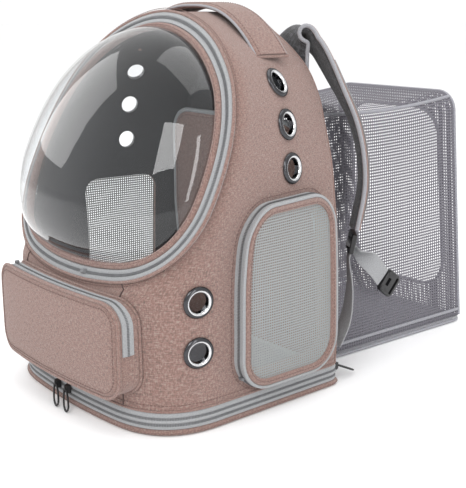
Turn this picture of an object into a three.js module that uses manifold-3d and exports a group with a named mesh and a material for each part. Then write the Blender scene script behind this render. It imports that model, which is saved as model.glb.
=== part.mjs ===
// A pet carrier backpack with a clear bubble window, and a mesh tent that opens out of its back.
// Millimetres, +Z up. The origin is the middle of the base's underside; the bubble faces -Y and the tent +Y.
import * as THREE from "three";
import { mergeVertices } from "three/addons/utils/BufferGeometryUtils.js";
import Module from "manifold-3d";

const wasm = await Module();
wasm.setup();

// Bag body
const bodyWidth = 324;
const bodyDepth = 268;
const rearHeight = 430; // top of the arch at the back
const crownHeight = 444; // top of the bag where the bubble's frame ends
const crownFront = 8; // how far behind the middle the crown's front edge lies
const sillHeight = 150; // where the front stops being upright and leans back
const frontBow = 16; // how far the middle of the front stands out past its sides
const frontSet = 4; // how far behind the base's nominal front its front corners lie
const bodyWall = 3;
const gap = 0.3; // between pieces that touch

// Base
const boardThickness = 6.5;
const baseZipperHeight = 18.5;
const padThickness = 14;
const padMargin = 6;

// Bubble window, measured in the leaning plane of the front
const bubbleHeight = 62; // how far the dome stands out
const bubbleThickness = 2.5;
const zipperTape = 13;
const bubblePiping = 7;
const frameDepth = 5;
const hingeHalf = 100; // the frame is sewn, not zipped, this far each side of its foot

// Side windows
const sideWindow = { y0: -36, y1: 112, z0: 33, z1: 243, corner: 40 };
const sideRaise = 15;
const sideTape = 3.5;
const sideRim = 8;
const sideHoleInset = 20;

// Front pocket
const pocket = { half: 122, z0: 44, z1: 148, corner: 24 };
const pocketDepth = 26;
const pocketWall = 2;
const pocketTapeWidth = 11;

// Eyelets: height, and direction seen from above the body's middle (0 is +X, -90 the front)
const eyeletOuter = 17.5;
const eyeletInner = 11;
const eyeletFlange = 2.2;
const eyeletSides = 10;
const eyeletLift = 0.6; // the flange's underside above the cloth's middle
const eyeletPlaces = [
  { height: 364, turn: 20 },
  { height: 320, turn: 18 },
  { height: 273, turn: 17 },
  { height: 147, turn: -28 },
  { height: 91, turn: -28 },
];

// Tent
const tentLength = 306;
const tentLean = 42; // how much shorter the tent is at its top than along its floor
const tentHeight = 334;
const tentHalfRear = 96; // half its width at the bag
const tentHalfEnd = 108; // half its width at the far end
const tentWall = 2;
const tentCorner = 26;
const tentSag = 9;
const tentFloor = 7;
const doorMargin = 26; // from the end's edge to its doorway
const doorSill = 44;
const bindingRadius = 3.2;

// Straps and handle
const strapWidth = 62;
const strapThickness = 10;
const webbingWidth = 25;
const webbingThickness = 1.6;
const handleWidth = 48;
const handleThickness = 8;

const materialOf = (color, roughness, metalness = 0) =>
  new THREE.MeshStandardMaterial({ color, roughness, metalness });
const rose = materialOf(0xb98f84, 0.9);
const tape = materialOf(0xb9bcbf, 0.8);
const grey = materialOf(0x9a98a2, 0.9);
const netting = materialOf(0x8c8a96, 0.9);
const black = materialOf(0x1b1b1d, 0.5);
const steel = materialOf(0x8f9092, 0.25, 1);
const clear = new THREE.MeshStandardMaterial({ color: 0xf2f5f6, roughness: 0.05, transparent: true, opacity: 0.35 });

const group = new THREE.Group();
const add = (name, solid, material) => {
  const found = solid.getMesh ? geometryOf(solid) : solid;
  const mesh = new THREE.Mesh(found, material);
  mesh.name = name;
  group.add(mesh);
};

function geometryOf(solid) {
  const { vertProperties, triVerts } = solid.getMesh();
  const geometry = new THREE.BufferGeometry();
  geometry.setAttribute("position", new THREE.BufferAttribute(vertProperties, 3));
  geometry.setIndex(new THREE.BufferAttribute(triVerts, 1));
  return geometry;
}

function solidOf(geometry) {
  const bare = geometry.clone();
  bare.deleteAttribute("normal");
  bare.deleteAttribute("uv");
  const merged = mergeVertices(bare, 1e-4);
  const made = new wasm.Manifold(
    new wasm.Mesh({
      numProp: 3,
      vertProperties: new Float32Array(merged.attributes.position.array),
      triVerts: new Uint32Array(merged.index.array),
    }),
  );
  return made;
}

// A closed solid from rings with the same number of points, capped by fans, or closed end to end.
function loft(rings, looped = false) {
  const n = rings[0].length;
  const points = rings.flat();
  const faces = [];
  const spans = looped ? rings.length : rings.length - 1;
  for (let i = 0; i < spans; i++) {
    const next = (i + 1) % rings.length;
    for (let k = 0; k < n; k++) {
      const a = i * n + k;
      const b = i * n + ((k + 1) % n);
      const c = next * n + ((k + 1) % n);
      const d = next * n + k;
      // The two halves are split the opposite way, so that a mirrored ring gives a mirrored solid.
      if (k < (n - 1) / 2) faces.push(a, b, c, a, c, d);
      else faces.push(a, b, d, b, c, d);
    }
  }
  if (!looped) {
    for (const [ring, start] of [[0, 0], [rings.length - 1, (rings.length - 1) * n]]) {
      const middle = rings[ring].reduce((sum, p) => sum.add(p), new THREE.Vector3()).divideScalar(n);
      points.push(middle);
      const centre = points.length - 1;
      for (let k = 0; k < n; k++) {
        const a = start + k;
        const b = start + ((k + 1) % n);
        if (ring === 0) faces.push(centre, b, a);
        else faces.push(centre, a, b);
      }
    }
  }
  // Rings may run either way round: the faces are turned outwards by the sign of the volume.
  let volume = 0;
  for (let i = 0; i < faces.length; i += 3) {
    const [a, b, c] = [points[faces[i]], points[faces[i + 1]], points[faces[i + 2]]];
    volume += a.dot(b.clone().cross(c));
  }
  const geometry = new THREE.BufferGeometry();
  geometry.setAttribute("position", new THREE.Float32BufferAttribute(points.flatMap((p) => [p.x, p.y, p.z]), 3));
  geometry.setIndex(volume < 0 ? faces.reverse() : faces);
  return solidOf(geometry);
}

const v = (x, y, z) => new THREE.Vector3(x, y, z);
const mirrorX = (solid) => solid.mirror([1, 0, 0]);

function along(table, key, column) {
  const rows = table;
  if (key <= rows[0].at) return rows[0][column];
  for (let i = 1; i < rows.length; i++) {
    if (key <= rows[i].at) {
      const share = (key - rows[i - 1].at) / (rows[i].at - rows[i - 1].at);
      return rows[i - 1][column] + share * (rows[i][column] - rows[i - 1][column]);
    }
  }
  return rows[rows.length - 1][column];
}

// The body's cross-sections. at: share of the rear height. front and rear: half widths as shares of
// half the body's width. back: share of half the depth. frontRound and rearRound: corner roundings in
// shares of half the width.
const BODY = [
  { at: 0.05, front: 0.98, rear: 0.985, back: 1.0, frontRound: 0.46, rearRound: 0.12 },
  { at: 0.2, front: 0.99, rear: 0.99, back: 1.0, frontRound: 0.45, rearRound: 0.12 },
  { at: 0.35, front: 1.0, rear: 0.975, back: 1.0, frontRound: 0.42, rearRound: 0.11 },
  { at: 0.44, front: 1.035, rear: 0.955, back: 1.0, frontRound: 0.34, rearRound: 0.1 },
  { at: 0.53, front: 1.1, rear: 0.92, back: 1.0, frontRound: 0.24, rearRound: 0.09 },
  { at: 0.63, front: 1.125, rear: 0.875, back: 1.0, frontRound: 0.18, rearRound: 0.08 },
  { at: 0.72, front: 1.095, rear: 0.8, back: 1.0, frontRound: 0.16, rearRound: 0.07 },
  { at: 0.8, front: 1.035, rear: 0.725, back: 1.0, frontRound: 0.15, rearRound: 0.06 },
  { at: 0.87, front: 0.93, rear: 0.6, back: 1.0, frontRound: 0.14, rearRound: 0.05 },
  { at: 0.925, front: 0.79, rear: 0.43, back: 0.99, frontRound: 0.12, rearRound: 0.05 },
  { at: 0.965, front: 0.62, rear: 0.27, back: 0.97, frontRound: 0.1, rearRound: 0.05 },
  { at: 1.0, front: 0.42, rear: 0.15, back: 0.9, frontRound: 0.09, rearRound: 0.05 },
  { at: 1.02, front: 0.24, rear: 0.12, back: 0.55, frontRound: 0.07, rearRound: 0.04 },
];
const halfWidth = bodyWidth / 2;
const halfDepth = bodyDepth / 2;
const lean = Math.atan2(halfDepth + crownFront, crownHeight - sillHeight);
const frontAt = (z) => -halfDepth + frontSet + Math.max(0, z - sillHeight) * Math.tan(lean);
// The front stands out in a shallow bow, flatter where the body is narrow.
function frontFace(x, z) {
  const half = along(BODY, z / rearHeight, "front") * halfWidth;
  const bow = frontBow * (half / halfWidth) ** 2;
  return frontAt(z) - frontBow + bow * Math.min(1.2, (x / half) ** 2) + (frontBow - bow) * 0.5;
}
const rearSteps = 2;
const frontSteps = 4;
const bowSteps = 3;

function corner(from, at, to, reach, steps) {
  const a = at.clone().add(from.clone().sub(at).setLength(Math.min(reach, from.distanceTo(at) * 0.95)));
  const b = at.clone().add(to.clone().sub(at).setLength(Math.min(reach, to.distanceTo(at) * 0.95)));
  const made = [];
  for (let i = 0; i <= steps; i++) {
    const t = i / steps;
    made.push(a.clone().multiplyScalar((1 - t) ** 2).addScaledVector(at, 2 * t * (1 - t)).addScaledVector(b, t * t));
  }
  return made;
}

// One cross-section, drawn in by inset, anticlockwise seen from above.
function bodyRing(z, inset, zPlaced = z) {
  const share = z / rearHeight;
  const hf = Math.max(2, along(BODY, share, "front") * halfWidth - inset);
  const hr = Math.max(2, along(BODY, share, "rear") * halfWidth - inset);
  const yr = along(BODY, share, "back") * halfDepth - inset;
  const frontY = (x) => frontFace(x, z) + inset;
  const rearCorner = new THREE.Vector2(hr, yr);
  const frontCorner = new THREE.Vector2(hf, frontY(hf));
  const reach = Math.min(along(BODY, share, "frontRound") * halfWidth, hf * 0.8);
  const nearX = hf - reach;
  const nearPoint = new THREE.Vector2(nearX, frontY(nearX));
  const right = [
    ...corner(new THREE.Vector2(0, yr), rearCorner, frontCorner, along(BODY, share, "rearRound") * halfWidth, rearSteps),
    ...corner(rearCorner, frontCorner, nearPoint, reach, frontSteps),
  ];
  for (let i = 1; i < bowSteps; i++) {
    const x = right[rearSteps + frontSteps + 1].x * (1 - i / bowSteps);
    right.push(new THREE.Vector2(x, frontY(x)));
  }
  const left = right.map((p) => new THREE.Vector2(-p.x, p.y)).reverse();
  const ring = [...right, new THREE.Vector2(0, frontY(0)), ...left];
  return ring.reverse().map((p) => v(p.x, p.y, zPlaced));
}

const baseTop = boardThickness + gap + baseZipperHeight + gap;
const heights = BODY.map((row) => row.at * rearHeight);
function bodySolid(inset, low = baseTop) {
  const top = heights[heights.length - 1] - Math.max(0, inset);
  const levels = [low, ...heights.filter((z) => z > Math.max(baseTop, low) + 1 && z < top - 1), top];
  const rings = levels.map((z) => bodyRing(Math.max(z, baseTop), inset, z));
  return loft(rings);
}

const outer = bodySolid(0);
const seat = bodySolid(-gap, baseTop);
const grown = (reach) => bodySolid(-reach, baseTop);

// Where the body's side lies, at a height and a direction seen from above the middle.
function sidePoint(z, turn) {
  const way = new THREE.Vector2(Math.cos(turn), Math.sin(turn));
  const k = heights.findIndex((h) => h > z);
  const low = bodyRing(heights[k - 1], 0);
  const high = bodyRing(heights[k], 0);
  const share = (z - heights[k - 1]) / (heights[k] - heights[k - 1]);
  const ring = low.map((p, i) => p.clone().lerp(high[i], share));
  const off = (p) => way.x * p.y - way.y * p.x;
  const i = ring.findIndex((p, j) => {
    const q = ring[(j + 1) % ring.length];
    return off(p) * off(q) <= 0 && p.x * way.x + p.y * way.y > 0;
  });
  const [p, q] = [ring[i], ring[(i + 1) % ring.length]];
  return p.clone().lerp(q, off(p) / (off(p) - off(q)));
}
// A flat ring's seat there: its middle, just clear of the cloth, and the way it faces.
function surfaceAt(z, turn) {
  const middle = sidePoint(z, turn);
  const turnStep = eyeletOuter / middle.length();
  const around = Array.from({ length: 12 }, (_, i) => {
    const a = (i * Math.PI) / 6;
    return sidePoint(z + eyeletOuter * Math.sin(a), turn + turnStep * Math.cos(a));
  });
  const normal = around[0].clone().sub(around[6]).cross(around[3].clone().sub(around[9])).normalize();
  const lift = Math.max(0, ...around.map((p) => p.sub(middle).dot(normal))) + 3 * gap;
  return { point: middle.clone().addScaledVector(normal, lift), normal };
}

function placed(geometry, point, normal) {
  const turn = new THREE.Quaternion().setFromUnitVectors(v(0, 0, 1), normal);
  return geometry.applyMatrix4(new THREE.Matrix4().compose(point, turn, v(1, 1, 1)));
}

// A rounded rectangle with its corners on the two given points.
function roundedBox(x0, y0, x1, y1, radius, steps = 4) {
  const shape = new THREE.Shape();
  const r = Math.max(0.5, Math.min(radius, (x1 - x0) / 2 - 0.5, (y1 - y0) / 2 - 0.5));
  const corners = [[x1 - r, y1 - r, 0], [x0 + r, y1 - r, 90], [x0 + r, y0 + r, 180], [x1 - r, y0 + r, 270]];
  const points = [];
  for (const [cx, cy, start] of corners) {
    for (let i = 0; i <= steps; i++) {
      const a = THREE.MathUtils.degToRad(start + (90 * i) / steps);
      points.push(new THREE.Vector2(cx + r * Math.cos(a), cy + r * Math.sin(a)));
    }
  }
  shape.setFromPoints(points);
  return shape;
}
const extruded = (shape, depth) =>
  solidOf(new THREE.ExtrudeGeometry(shape, { depth, bevelEnabled: false, steps: 1 }));
// Shapes drawn in (y, z) and pushed out along +X, and shapes drawn in (x, z) and pushed out along +Y.
const alongX = (shape, depth, x0) => extruded(shape, depth).transform([0, 1, 0, 0, 0, 0, 1, 0, 1, 0, 0, 0, x0, 0, 0, 1]);
const alongY = (shape, depth, y0) => extruded(shape, depth).mirror([1, 0, 0]).rotate([90, 0, 0]).rotate([0, 0, 180]).translate([0, y0, 0]);

const slab = (x0, x1, y0, y1, z0, z1) =>
  solidOf(new THREE.BoxGeometry(x1 - x0, y1 - y0, z1 - z0).translate((x0 + x1) / 2, (y0 + y1) / 2, (z0 + z1) / 2));

// The bubble's outline in the leaning front. at: share of its height up the lean; half: share of its half width.
const OUTLINE = [
  { at: 0.0, half: 0.0 },
  { at: 0.006, half: 0.26 },
  { at: 0.03, half: 0.54 },
  { at: 0.08, half: 0.74 },
  { at: 0.16, half: 0.89 },
  { at: 0.27, half: 0.98 },
  { at: 0.4, half: 1.0 },
  { at: 0.54, half: 0.975 },
  { at: 0.66, half: 0.91 },
  { at: 0.77, half: 0.8 },
  { at: 0.87, half: 0.625 },
  { at: 0.94, half: 0.43 },
  { at: 0.985, half: 0.21 },
  { at: 1.0, half: 0.0 },
];
const windowFoot = 7; // from the sill up the lean
const windowRise = (crownHeight - sillHeight) / Math.cos(lean) - windowFoot - 7;
const windowHalf = 178;
const outlinePoints = [
  ...OUTLINE.map((p) => new THREE.Vector2(p.half * windowHalf, windowFoot + p.at * windowRise)),
  ...OUTLINE.slice(1, -1).reverse().map((p) => new THREE.Vector2(-p.half * windowHalf, windowFoot + p.at * windowRise)),
];
// The outline drawn in by a distance, point by point along its own normals.
function outlineInset(distance) {
  const n = outlinePoints.length;
  return outlinePoints.map((p, i) => {
    const before = outlinePoints[(i + n - 1) % n];
    const after = outlinePoints[(i + 1) % n];
    const way = after.clone().sub(before).normalize();
    return new THREE.Vector2(p.x - way.y * distance, p.y + way.x * distance);
  });
}
const leanNormal = v(0, -Math.cos(lean), Math.sin(lean));
// A point of the leaning front: x across, s up the lean from the sill, out along its normal.
function onFront(x, s, out) {
  const z = sillHeight + s * Math.cos(lean);
  return v(x, frontFace(x, z), z).addScaledVector(leanNormal, out);
}
function frontRing(outerInset, innerInset, low, high, first = 0, last = outlinePoints.length) {
  const a = outlineInset(outerInset);
  const b = outlineInset(innerInset);
  const rings = [];
  for (let i = first; i < last; i++) {
    const k = i % a.length;
    rings.push([onFront(a[k].x, a[k].y, low), onFront(b[k].x, b[k].y, low), onFront(b[k].x, b[k].y, high), onFront(a[k].x, a[k].y, high)]);
  }
  return loft(rings, first === 0 && last === a.length);
}

// Bag body: one sewn shell, open below, with its windows, eyelet holes and the doorway to the tent.
function windowPrism(inset, low, high) {
  const edge = outlineInset(inset);
  return loft([low, high].map((out) => edge.map((p) => onFront(p.x, p.y, 0).addScaledVector(leanNormal, out))));
}
const sideShape = (inset) =>
  roundedBox(sideWindow.y0 + inset, sideWindow.z0 + inset, sideWindow.y1 - inset, sideWindow.z1 - inset, sideWindow.corner - inset);
const sideReach = halfWidth + sideRaise + 40;
const sidePrism = (inset) => alongX(sideShape(inset), sideReach - 60, 60);

const doorwayHalf = tentHalfRear - tentWall - 4;
const doorwayTop = tentHeight - 20;
const doorwayShape = roundedBox(-doorwayHalf, baseTop + 6, doorwayHalf, doorwayTop, tentCorner);
const eyeletSpots = eyeletPlaces.map((place) => surfaceAt(place.height, THREE.MathUtils.degToRad(place.turn)));
const holeRadius = eyeletInner + 1.1 + gap;
const eyeletHoles = eyeletSpots.map(({ point, normal }) =>
  solidOf(
    placed(
      new THREE.CylinderGeometry(holeRadius, holeRadius, 30, eyeletSides).rotateX(Math.PI / 2),
      point,
      normal,
    ),
  ),
);
const inner = bodySolid(bodyWall, baseTop - 5);
let shell = outer
  .subtract(inner)
  .subtract(windowPrism(zipperTape + bubblePiping - 2, -60, 60))
  .subtract(sidePrism(sideHoleInset))
  .subtract(mirrorX(sidePrism(sideHoleInset)))
  .subtract(alongY(doorwayShape, 60, halfDepth - 30));
for (const hole of eyeletHoles) shell = shell.subtract(hole).subtract(mirrorX(hole));
// It is sewn from a front panel below the window, two side gussets, a crown and a back panel.
const far = bodyWidth * 2;
const cutBlock = (low, high) => slab(low.x, high.x, low.y, high.y, low.z, high.z);
const backSeam = halfDepth - bodyWall - 1;
const crownSeam = crownHeight - 72;
const frontSeam = { x: 101, y: -70, z: 176 };
const half = gap / 2;
const backBlock = (grow) => cutBlock(v(-far, backSeam - grow, -far), v(far, far, far));
const frontBlock = (grow) => cutBlock(v(-frontSeam.x - grow, -far, -far), v(frontSeam.x + grow, frontSeam.y + grow, frontSeam.z + grow));
const rest = shell.subtract(backBlock(half)).subtract(frontBlock(half));
add("back_panel", shell.intersect(backBlock(-half)), rose);
add("front_panel", shell.intersect(frontBlock(-half)), rose);
add("crown_panel", rest.intersect(cutBlock(v(-far, -far, crownSeam + half), v(far, far, far))), rose);
const below = rest.intersect(cutBlock(v(-far, -far, -far), v(far, far, crownSeam - half)));
const gusset = below.intersect(cutBlock(v(half, -far, -far), v(far, far, far)));
add("gusset_right", gusset, rose);
add("gusset_left", mirrorX(gusset), rose);

// Base: a stiff board in rose cloth, with the grey zip band that joins it to the body.
const baseRing = (inset, z) => bodyRing(baseTop, inset, z);
add("base_board", loft([baseRing(-2, 0), baseRing(-3, boardThickness * 0.5), baseRing(-2, boardThickness)]), rose);
const bandLow = boardThickness + gap;
const band = loft([baseRing(-1, bandLow), baseRing(-2, bandLow + baseZipperHeight * 0.4), baseRing(-0.4, bandLow + baseZipperHeight)]);
const bandHollow = loft([baseRing(bodyWall, bandLow - 1), baseRing(bodyWall, bandLow + baseZipperHeight + 1)]);
add("base_zipper", band.subtract(bandHollow), tape);
const padBottom = boardThickness + gap;
add("floor_pad", loft([
  baseRing(bodyWall + padMargin, padBottom),
  baseRing(bodyWall + 1, padBottom + padThickness * 0.4),
  baseRing(bodyWall + 2, padBottom + padThickness * 0.75),
  baseRing(bodyWall + padMargin + 6, padBottom + padThickness),
]), grey);

// Bubble window: clear dome, the rose piping that clamps it and the zip tape around that.
const tapeEnds = outlinePoints.findIndex((p) => p.x > hingeHalf * 0.98);
add("bubble_zipper", frontRing(0, zipperTape, -3, frameDepth * 0.6, tapeEnds, outlinePoints.length - tapeEnds + 1).subtract(seat), tape);
add("bubble_frame", frontRing(zipperTape + gap, zipperTape + bubblePiping, -3, frameDepth).subtract(seat), rose);
const DOME = [
  { in: 0.0, out: 0.0 },
  { in: 0.06, out: 0.33 },
  { in: 0.19, out: 0.63 },
  { in: 0.33, out: 0.81 },
  { in: 0.52, out: 0.93 },
  { in: 0.76, out: 0.99 },
];
const domeEdge = outlineInset(zipperTape + bubblePiping + gap);
const domeFocus = new THREE.Vector2(0, windowFoot + windowRise * 0.46);
function domeRing(row, thickness) {
  const height = bubbleHeight - thickness;
  return domeEdge.map((p) => {
    const pulled = p.clone().lerp(domeFocus, row.in);
    const inward = domeFocus.clone().sub(p).setLength(thickness);
    const edge = onFront(p.x, p.y, 0).y - onFront(0, p.y, 0).y;
    const at = onFront(0, pulled.y + inward.y, row.out * height + (thickness ? -0.01 : 0.8) + 0.4);
    return v(pulled.x + inward.x, at.y + edge * (1 - row.in) ** 2, at.z);
  });
}
const domeOuter = DOME.map((row) => domeRing(row, 0));
const domeInner = DOME.map((row) => domeRing(row, bubbleThickness));
const domeFoot = (thickness) => domeRing(DOME[0], thickness).map((p) => p.clone().addScaledVector(leanNormal, -6));
const domeSolid = (rings, foot) => {
  const tip = rings[rings.length - 1].reduce((sum, p) => sum.add(p), v(0, 0, 0)).divideScalar(rings[0].length);
  const cap = rings[rings.length - 1].map((p) => p.clone().lerp(tip, 0.55).addScaledVector(leanNormal, bubbleHeight * 0.008));
  return loft([foot, ...rings, cap]);
};
add("bubble_dome", domeSolid(domeOuter, domeFoot(0)).subtract(domeSolid(domeInner, domeFoot(bubbleThickness).map((p) => p.addScaledVector(leanNormal, -4)))), clear);

// Side windows: a raised net panel in a rose rim, with a zip gusset round it.
const reached = { gusset: grown(sideRaise), netTop: grown(sideRaise - 1), netLow: grown(sideRaise - 3), rimTop: grown(sideRaise + 1), rimLow: grown(sideRaise - 3.5) };
const sidePieces = {
  side_zipper: [sidePrism(0).subtract(sidePrism(sideTape)).intersect(reached.gusset).subtract(seat), tape],
  side_rim: [sidePrism(sideTape + gap).subtract(sidePrism(sideTape + sideRim)).intersect(reached.rimTop).subtract(reached.rimLow), rose],
  side_net: [sidePrism(sideTape + sideRim + gap).intersect(reached.netTop).subtract(reached.netLow), netting],
};
for (const [name, [solid, material]] of Object.entries(sidePieces)) {
  add(name + "_right", solid, material);
  add(name + "_left", mirrorX(solid), material);
}

// Front pocket: a rose tray sewn to the front by its edge, with zip tape over its top and right side.
const pocketShape = (inset) =>
  roundedBox(-pocket.half + inset, pocket.z0 + inset, pocket.half - inset, pocket.z1 - inset, pocket.corner - inset);
const pocketPrism = (inset) => alongY(pocketShape(inset), 120, -halfDepth - 100);
const pocketTop = grown(pocketDepth);
const pocketSolid = pocketPrism(0).intersect(pocketTop).subtract(seat);
add("front_pocket", pocketSolid.subtract(pocketPrism(pocketWall).intersect(grown(pocketDepth - pocketWall))), rose);
const tapeMiddle = pocketDepth * 0.55;
const pocketTape = pocketPrism(-1.6)
  .subtract(pocketPrism(-gap))
  .intersect(grown(tapeMiddle + pocketTapeWidth / 2))
  .subtract(grown(tapeMiddle - pocketTapeWidth / 2));
const tapeKeep = alongY(roundedBox(-pocket.half + pocket.corner, (pocket.z0 + pocket.z1) / 2 - 6, pocket.half + 30, pocket.z1 + 30, 1), 160, -halfDepth - 120);
add("front_pocket_zipper", pocketTape.intersect(tapeKeep), tape);

// Eyelets: pressed steel rings.
eyeletSpots.forEach(({ point, normal }, index) => {
  const profile = [
    [eyeletInner, -bodyWall - 1.5],
    [eyeletInner + 1.1, -bodyWall - 1.5],
    [eyeletInner + 1.1, eyeletLift],
    [eyeletOuter, eyeletLift],
    [eyeletOuter - 1.2, eyeletFlange],
    [eyeletInner + 1.6, eyeletFlange + 0.6],
    [eyeletInner, eyeletFlange - 0.6],
  ].map(([r, h]) => new THREE.Vector2(r, h));
  const ring = new THREE.LatheGeometry([...profile, profile[0]], eyeletSides).rotateX(Math.PI / 2);
  const whole = solidOf(placed(ring, point, normal));
  add("eyelet_right_" + (index + 1), whole, steel);
  add("eyelet_left_" + (index + 1), mirrorX(whole), steel);
});

// A flat band along a path. Each row gives the middle, and the way its width lies.
function bandAlong(rows, width, thickness, round = 0.35) {
  const rings = rows.map((row, i) => {
    const before = rows[Math.max(0, i - 1)].at;
    const after = rows[Math.min(rows.length - 1, i + 1)].at;
    const tangent = after.clone().sub(before).normalize();
    const across = row.across.clone().addScaledVector(tangent, -row.across.dot(tangent)).normalize();
    const up = tangent.clone().cross(across).normalize();
    const w = (width * (row.wide ?? 1)) / 2;
    const t = thickness / 2;
    const e = Math.min(t, w) * 2 * round;
    const corners = round > 0
      ? [[w, -t + e], [w, t - e], [w - e, t], [-w + e, t], [-w, t - e], [-w, -t + e], [-w + e, -t], [w - e, -t]]
      : [[w, -t], [w, t], [-w, t], [-w, -t]];
    return corners.map(([a, b]) => row.at.clone().addScaledVector(across, a).addScaledVector(up, b)).reverse();
  });
  return loft(rings);
}
// Rows on a smooth curve through a few chosen places.
function smoothRows(places, steps) {
  const middle = new THREE.CatmullRomCurve3(places.map((p) => p.at));
  const ways = new THREE.CatmullRomCurve3(places.map((p) => p.across));
  return Array.from({ length: steps + 1 }, (_, i) => ({ at: middle.getPoint(i / steps), across: ways.getPoint(i / steps) }));
}

// Handle: a padded band sewn to the top on both sides, with room for the fingers under it.
const handleEnd = { x: 112, y: 60, z: 392 };
const handleTop = 453;
const handleRows = Array.from({ length: 15 }, (_, i) => {
  const share = -1 + (2 * i) / 14;
  const rise = 1 - Math.abs(share) ** 2.6;
  return { at: v(share * handleEnd.x, handleEnd.y, handleEnd.z + rise * (handleTop - handleThickness / 2 - handleEnd.z)), across: v(0, 1, 0) };
});
add("top_handle", bandAlong(handleRows, handleWidth, handleThickness).subtract(seat), rose);

// Shoulder straps, their buckles and webbing, on the right, and mirrored on the left.
const strapPlaces = [
  { at: v(58, halfDepth + 5.5, 368), across: v(1, 0, 0) },
  { at: v(58, halfDepth + 9, 400), across: v(1, 0.02, 0) },
  { at: v(64, halfDepth + 17, 417), across: v(1, -0.1, 0) },
  { at: v(86, halfDepth + 24, 396), across: v(0.95, -0.3, 0) },
  { at: v(114, halfDepth + 34, 352), across: v(0.82, -0.57, 0) },
  { at: v(129, halfDepth + 52, 300), across: v(0.75, -0.66, 0) },
  { at: v(134, halfDepth + 60, 240), across: v(0.72, -0.69, 0) },
  { at: v(133, halfDepth + 49, 181.6), across: v(0.74, -0.67, 0.17) },
];
const strap = bandAlong(smoothRows(strapPlaces, 18), strapWidth, strapThickness);
const buckleAt = v(133, halfDepth + 43.8, 165);
const buckleAcross = v(0.75, -0.66, 0).normalize();
const buckleUp = v(0, 0.25, 1).normalize();
function plate(width, height, thickness, centre, across, up) {
  const out = across.clone().cross(up).normalize();
  const matrix = new THREE.Matrix4().makeBasis(across, up.clone().addScaledVector(across, -up.dot(across)).normalize(), out).setPosition(centre);
  return solidOf(new THREE.BoxGeometry(width, height, thickness).applyMatrix4(matrix));
}
const buckleSize = [webbingWidth + 10, 26, 7];
const buckleSeat = plate(...buckleSize.map((d) => d + 2 * gap), buckleAt, buckleAcross, buckleUp);
const buckle = plate(...buckleSize, buckleAt, buckleAcross, buckleUp)
  .subtract(plate(webbingWidth + 2, 7, 20, buckleAt.clone().addScaledVector(buckleUp, 6), buckleAcross, buckleUp))
  .subtract(plate(webbingWidth + 2, 7, 20, buckleAt.clone().addScaledVector(buckleUp, -6), buckleAcross, buckleUp));
const lowerWeb = bandAlong(
  smoothRows([
    { at: v(133, halfDepth + 40.5, 151.9), across: v(0.75, -0.66, 0) },
    { at: v(133.2, halfDepth + 38.9, 145.4), across: v(0.75, -0.66, 0) },
    { at: v(141, halfDepth + 34, 110), across: v(0.85, -0.5, 0) },
    { at: v(146, halfDepth + 22, 72), across: v(0.95, -0.3, 0) },
    { at: v(143, halfDepth + 6, 44), across: v(1, 0, 0) },
  ], 8),
  webbingWidth, webbingThickness, 0,
).subtract(seat).subtract(buckleSeat);
const tab = bandAlong(
  [
    { at: v(134, halfDepth + 2.6, 33), across: v(1, 0, 0), wide: 1.3 },
    { at: v(138, halfDepth + 3.4, 41), across: v(1, 0, 0), wide: 1.15 },
  ],
  webbingWidth, 5, 0,
).subtract(seat);
const beltWeb = bandAlong(
  smoothRows([
    { at: v(136, halfDepth + 48.3, 158), across: v(0.75, -0.6, 0.1) },
    { at: v(137, halfDepth + 64, 144), across: v(0.7, 0, 0.6) },
    { at: v(133, halfDepth + 87, 127), across: v(0.15, 0.6, 0.75) },
    { at: v(129, halfDepth + 110, 106), across: v(0.1, 0.6, 0.75) },
  ], 5),
  webbingWidth, webbingThickness, 0,
);
const clipUp = v(-0.05, 0.8, -0.6).normalize();
const clipAcross = v(0.1, 0.6, 0.79).normalize();
const clipAt = v(128, halfDepth + 123.2, 95.6);
const clipSize = [webbingWidth + 6, 30, 8];
const clip = plate(...clipSize, clipAt, clipAcross, clipUp)
  .subtract(plate(webbingWidth - 8, 10, 20, clipAt.clone().addScaledVector(clipUp, 4), clipAcross, clipUp));
const clipSeat = plate(...clipSize.map((d) => d + 2 * gap), clipAt, clipAcross, clipUp);
const strapPieces = { shoulder_strap: [strap, rose], strap_buckle: [buckle, black], lower_webbing: [lowerWeb, tape], corner_tab: [tab, black], belt_webbing: [beltWeb.subtract(buckleSeat).subtract(clipSeat), tape], belt_clip: [clip, black] };
for (const [name, [solid, material]] of Object.entries(strapPieces)) {
  add(name + "_right", solid, material);
  add(name + "_left", mirrorX(solid), material);
}

// Tent: a floor board, two sides, a top and a far end with a doorway, on a bound wire edge.
const tentStart = halfDepth + gap + 3;
const tentEnd = tentStart + tentLength;
const halfAt = (share) => tentHalfRear + share * (tentHalfEnd - tentHalfRear);
const topAt = (share) => tentHeight - tentSag * 4 * share * (1 - share);
const tentShares = [0, 0.25, 0.5, 0.75, 1];
const tentSection = (share, inset, low, push = 0) => {
  const shape = roundedBox(-halfAt(share) + inset, low, halfAt(share) - inset, topAt(share) - inset, tentCorner - inset, 4).getPoints();
  const reach = (z) => tentStart + share * (tentLength - (tentLean * z) / tentHeight) + push;
  return shape.slice(0, 20).map((p) => v(p.x, reach(p.y), p.y)).reverse();
};
const endBack = -tentWall - gap;
const tube = loft(tentShares.map((s) => tentSection(s, 0, -40, s === 1 ? endBack : 0))).subtract(
  loft(tentShares.map((s) => tentSection(s, tentWall, -60, s === 0 ? -5 : s === 1 ? 5 : 0))),
);
const wide = 2 * tentHalfEnd;
const wallLow = tentFloor + gap;
const sideTop = tentHeight - tentCorner - tentSag;
add("tent_side_right", tube.intersect(slab(0, wide, 0, tentEnd, wallLow, sideTop)), netting);
add("tent_side_left", tube.intersect(slab(-wide, 0, 0, tentEnd, wallLow, sideTop)), netting);
add("tent_top", tube.intersect(slab(-wide, wide, 0, tentEnd, sideTop + gap, tentHeight + 20)), netting);
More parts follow.
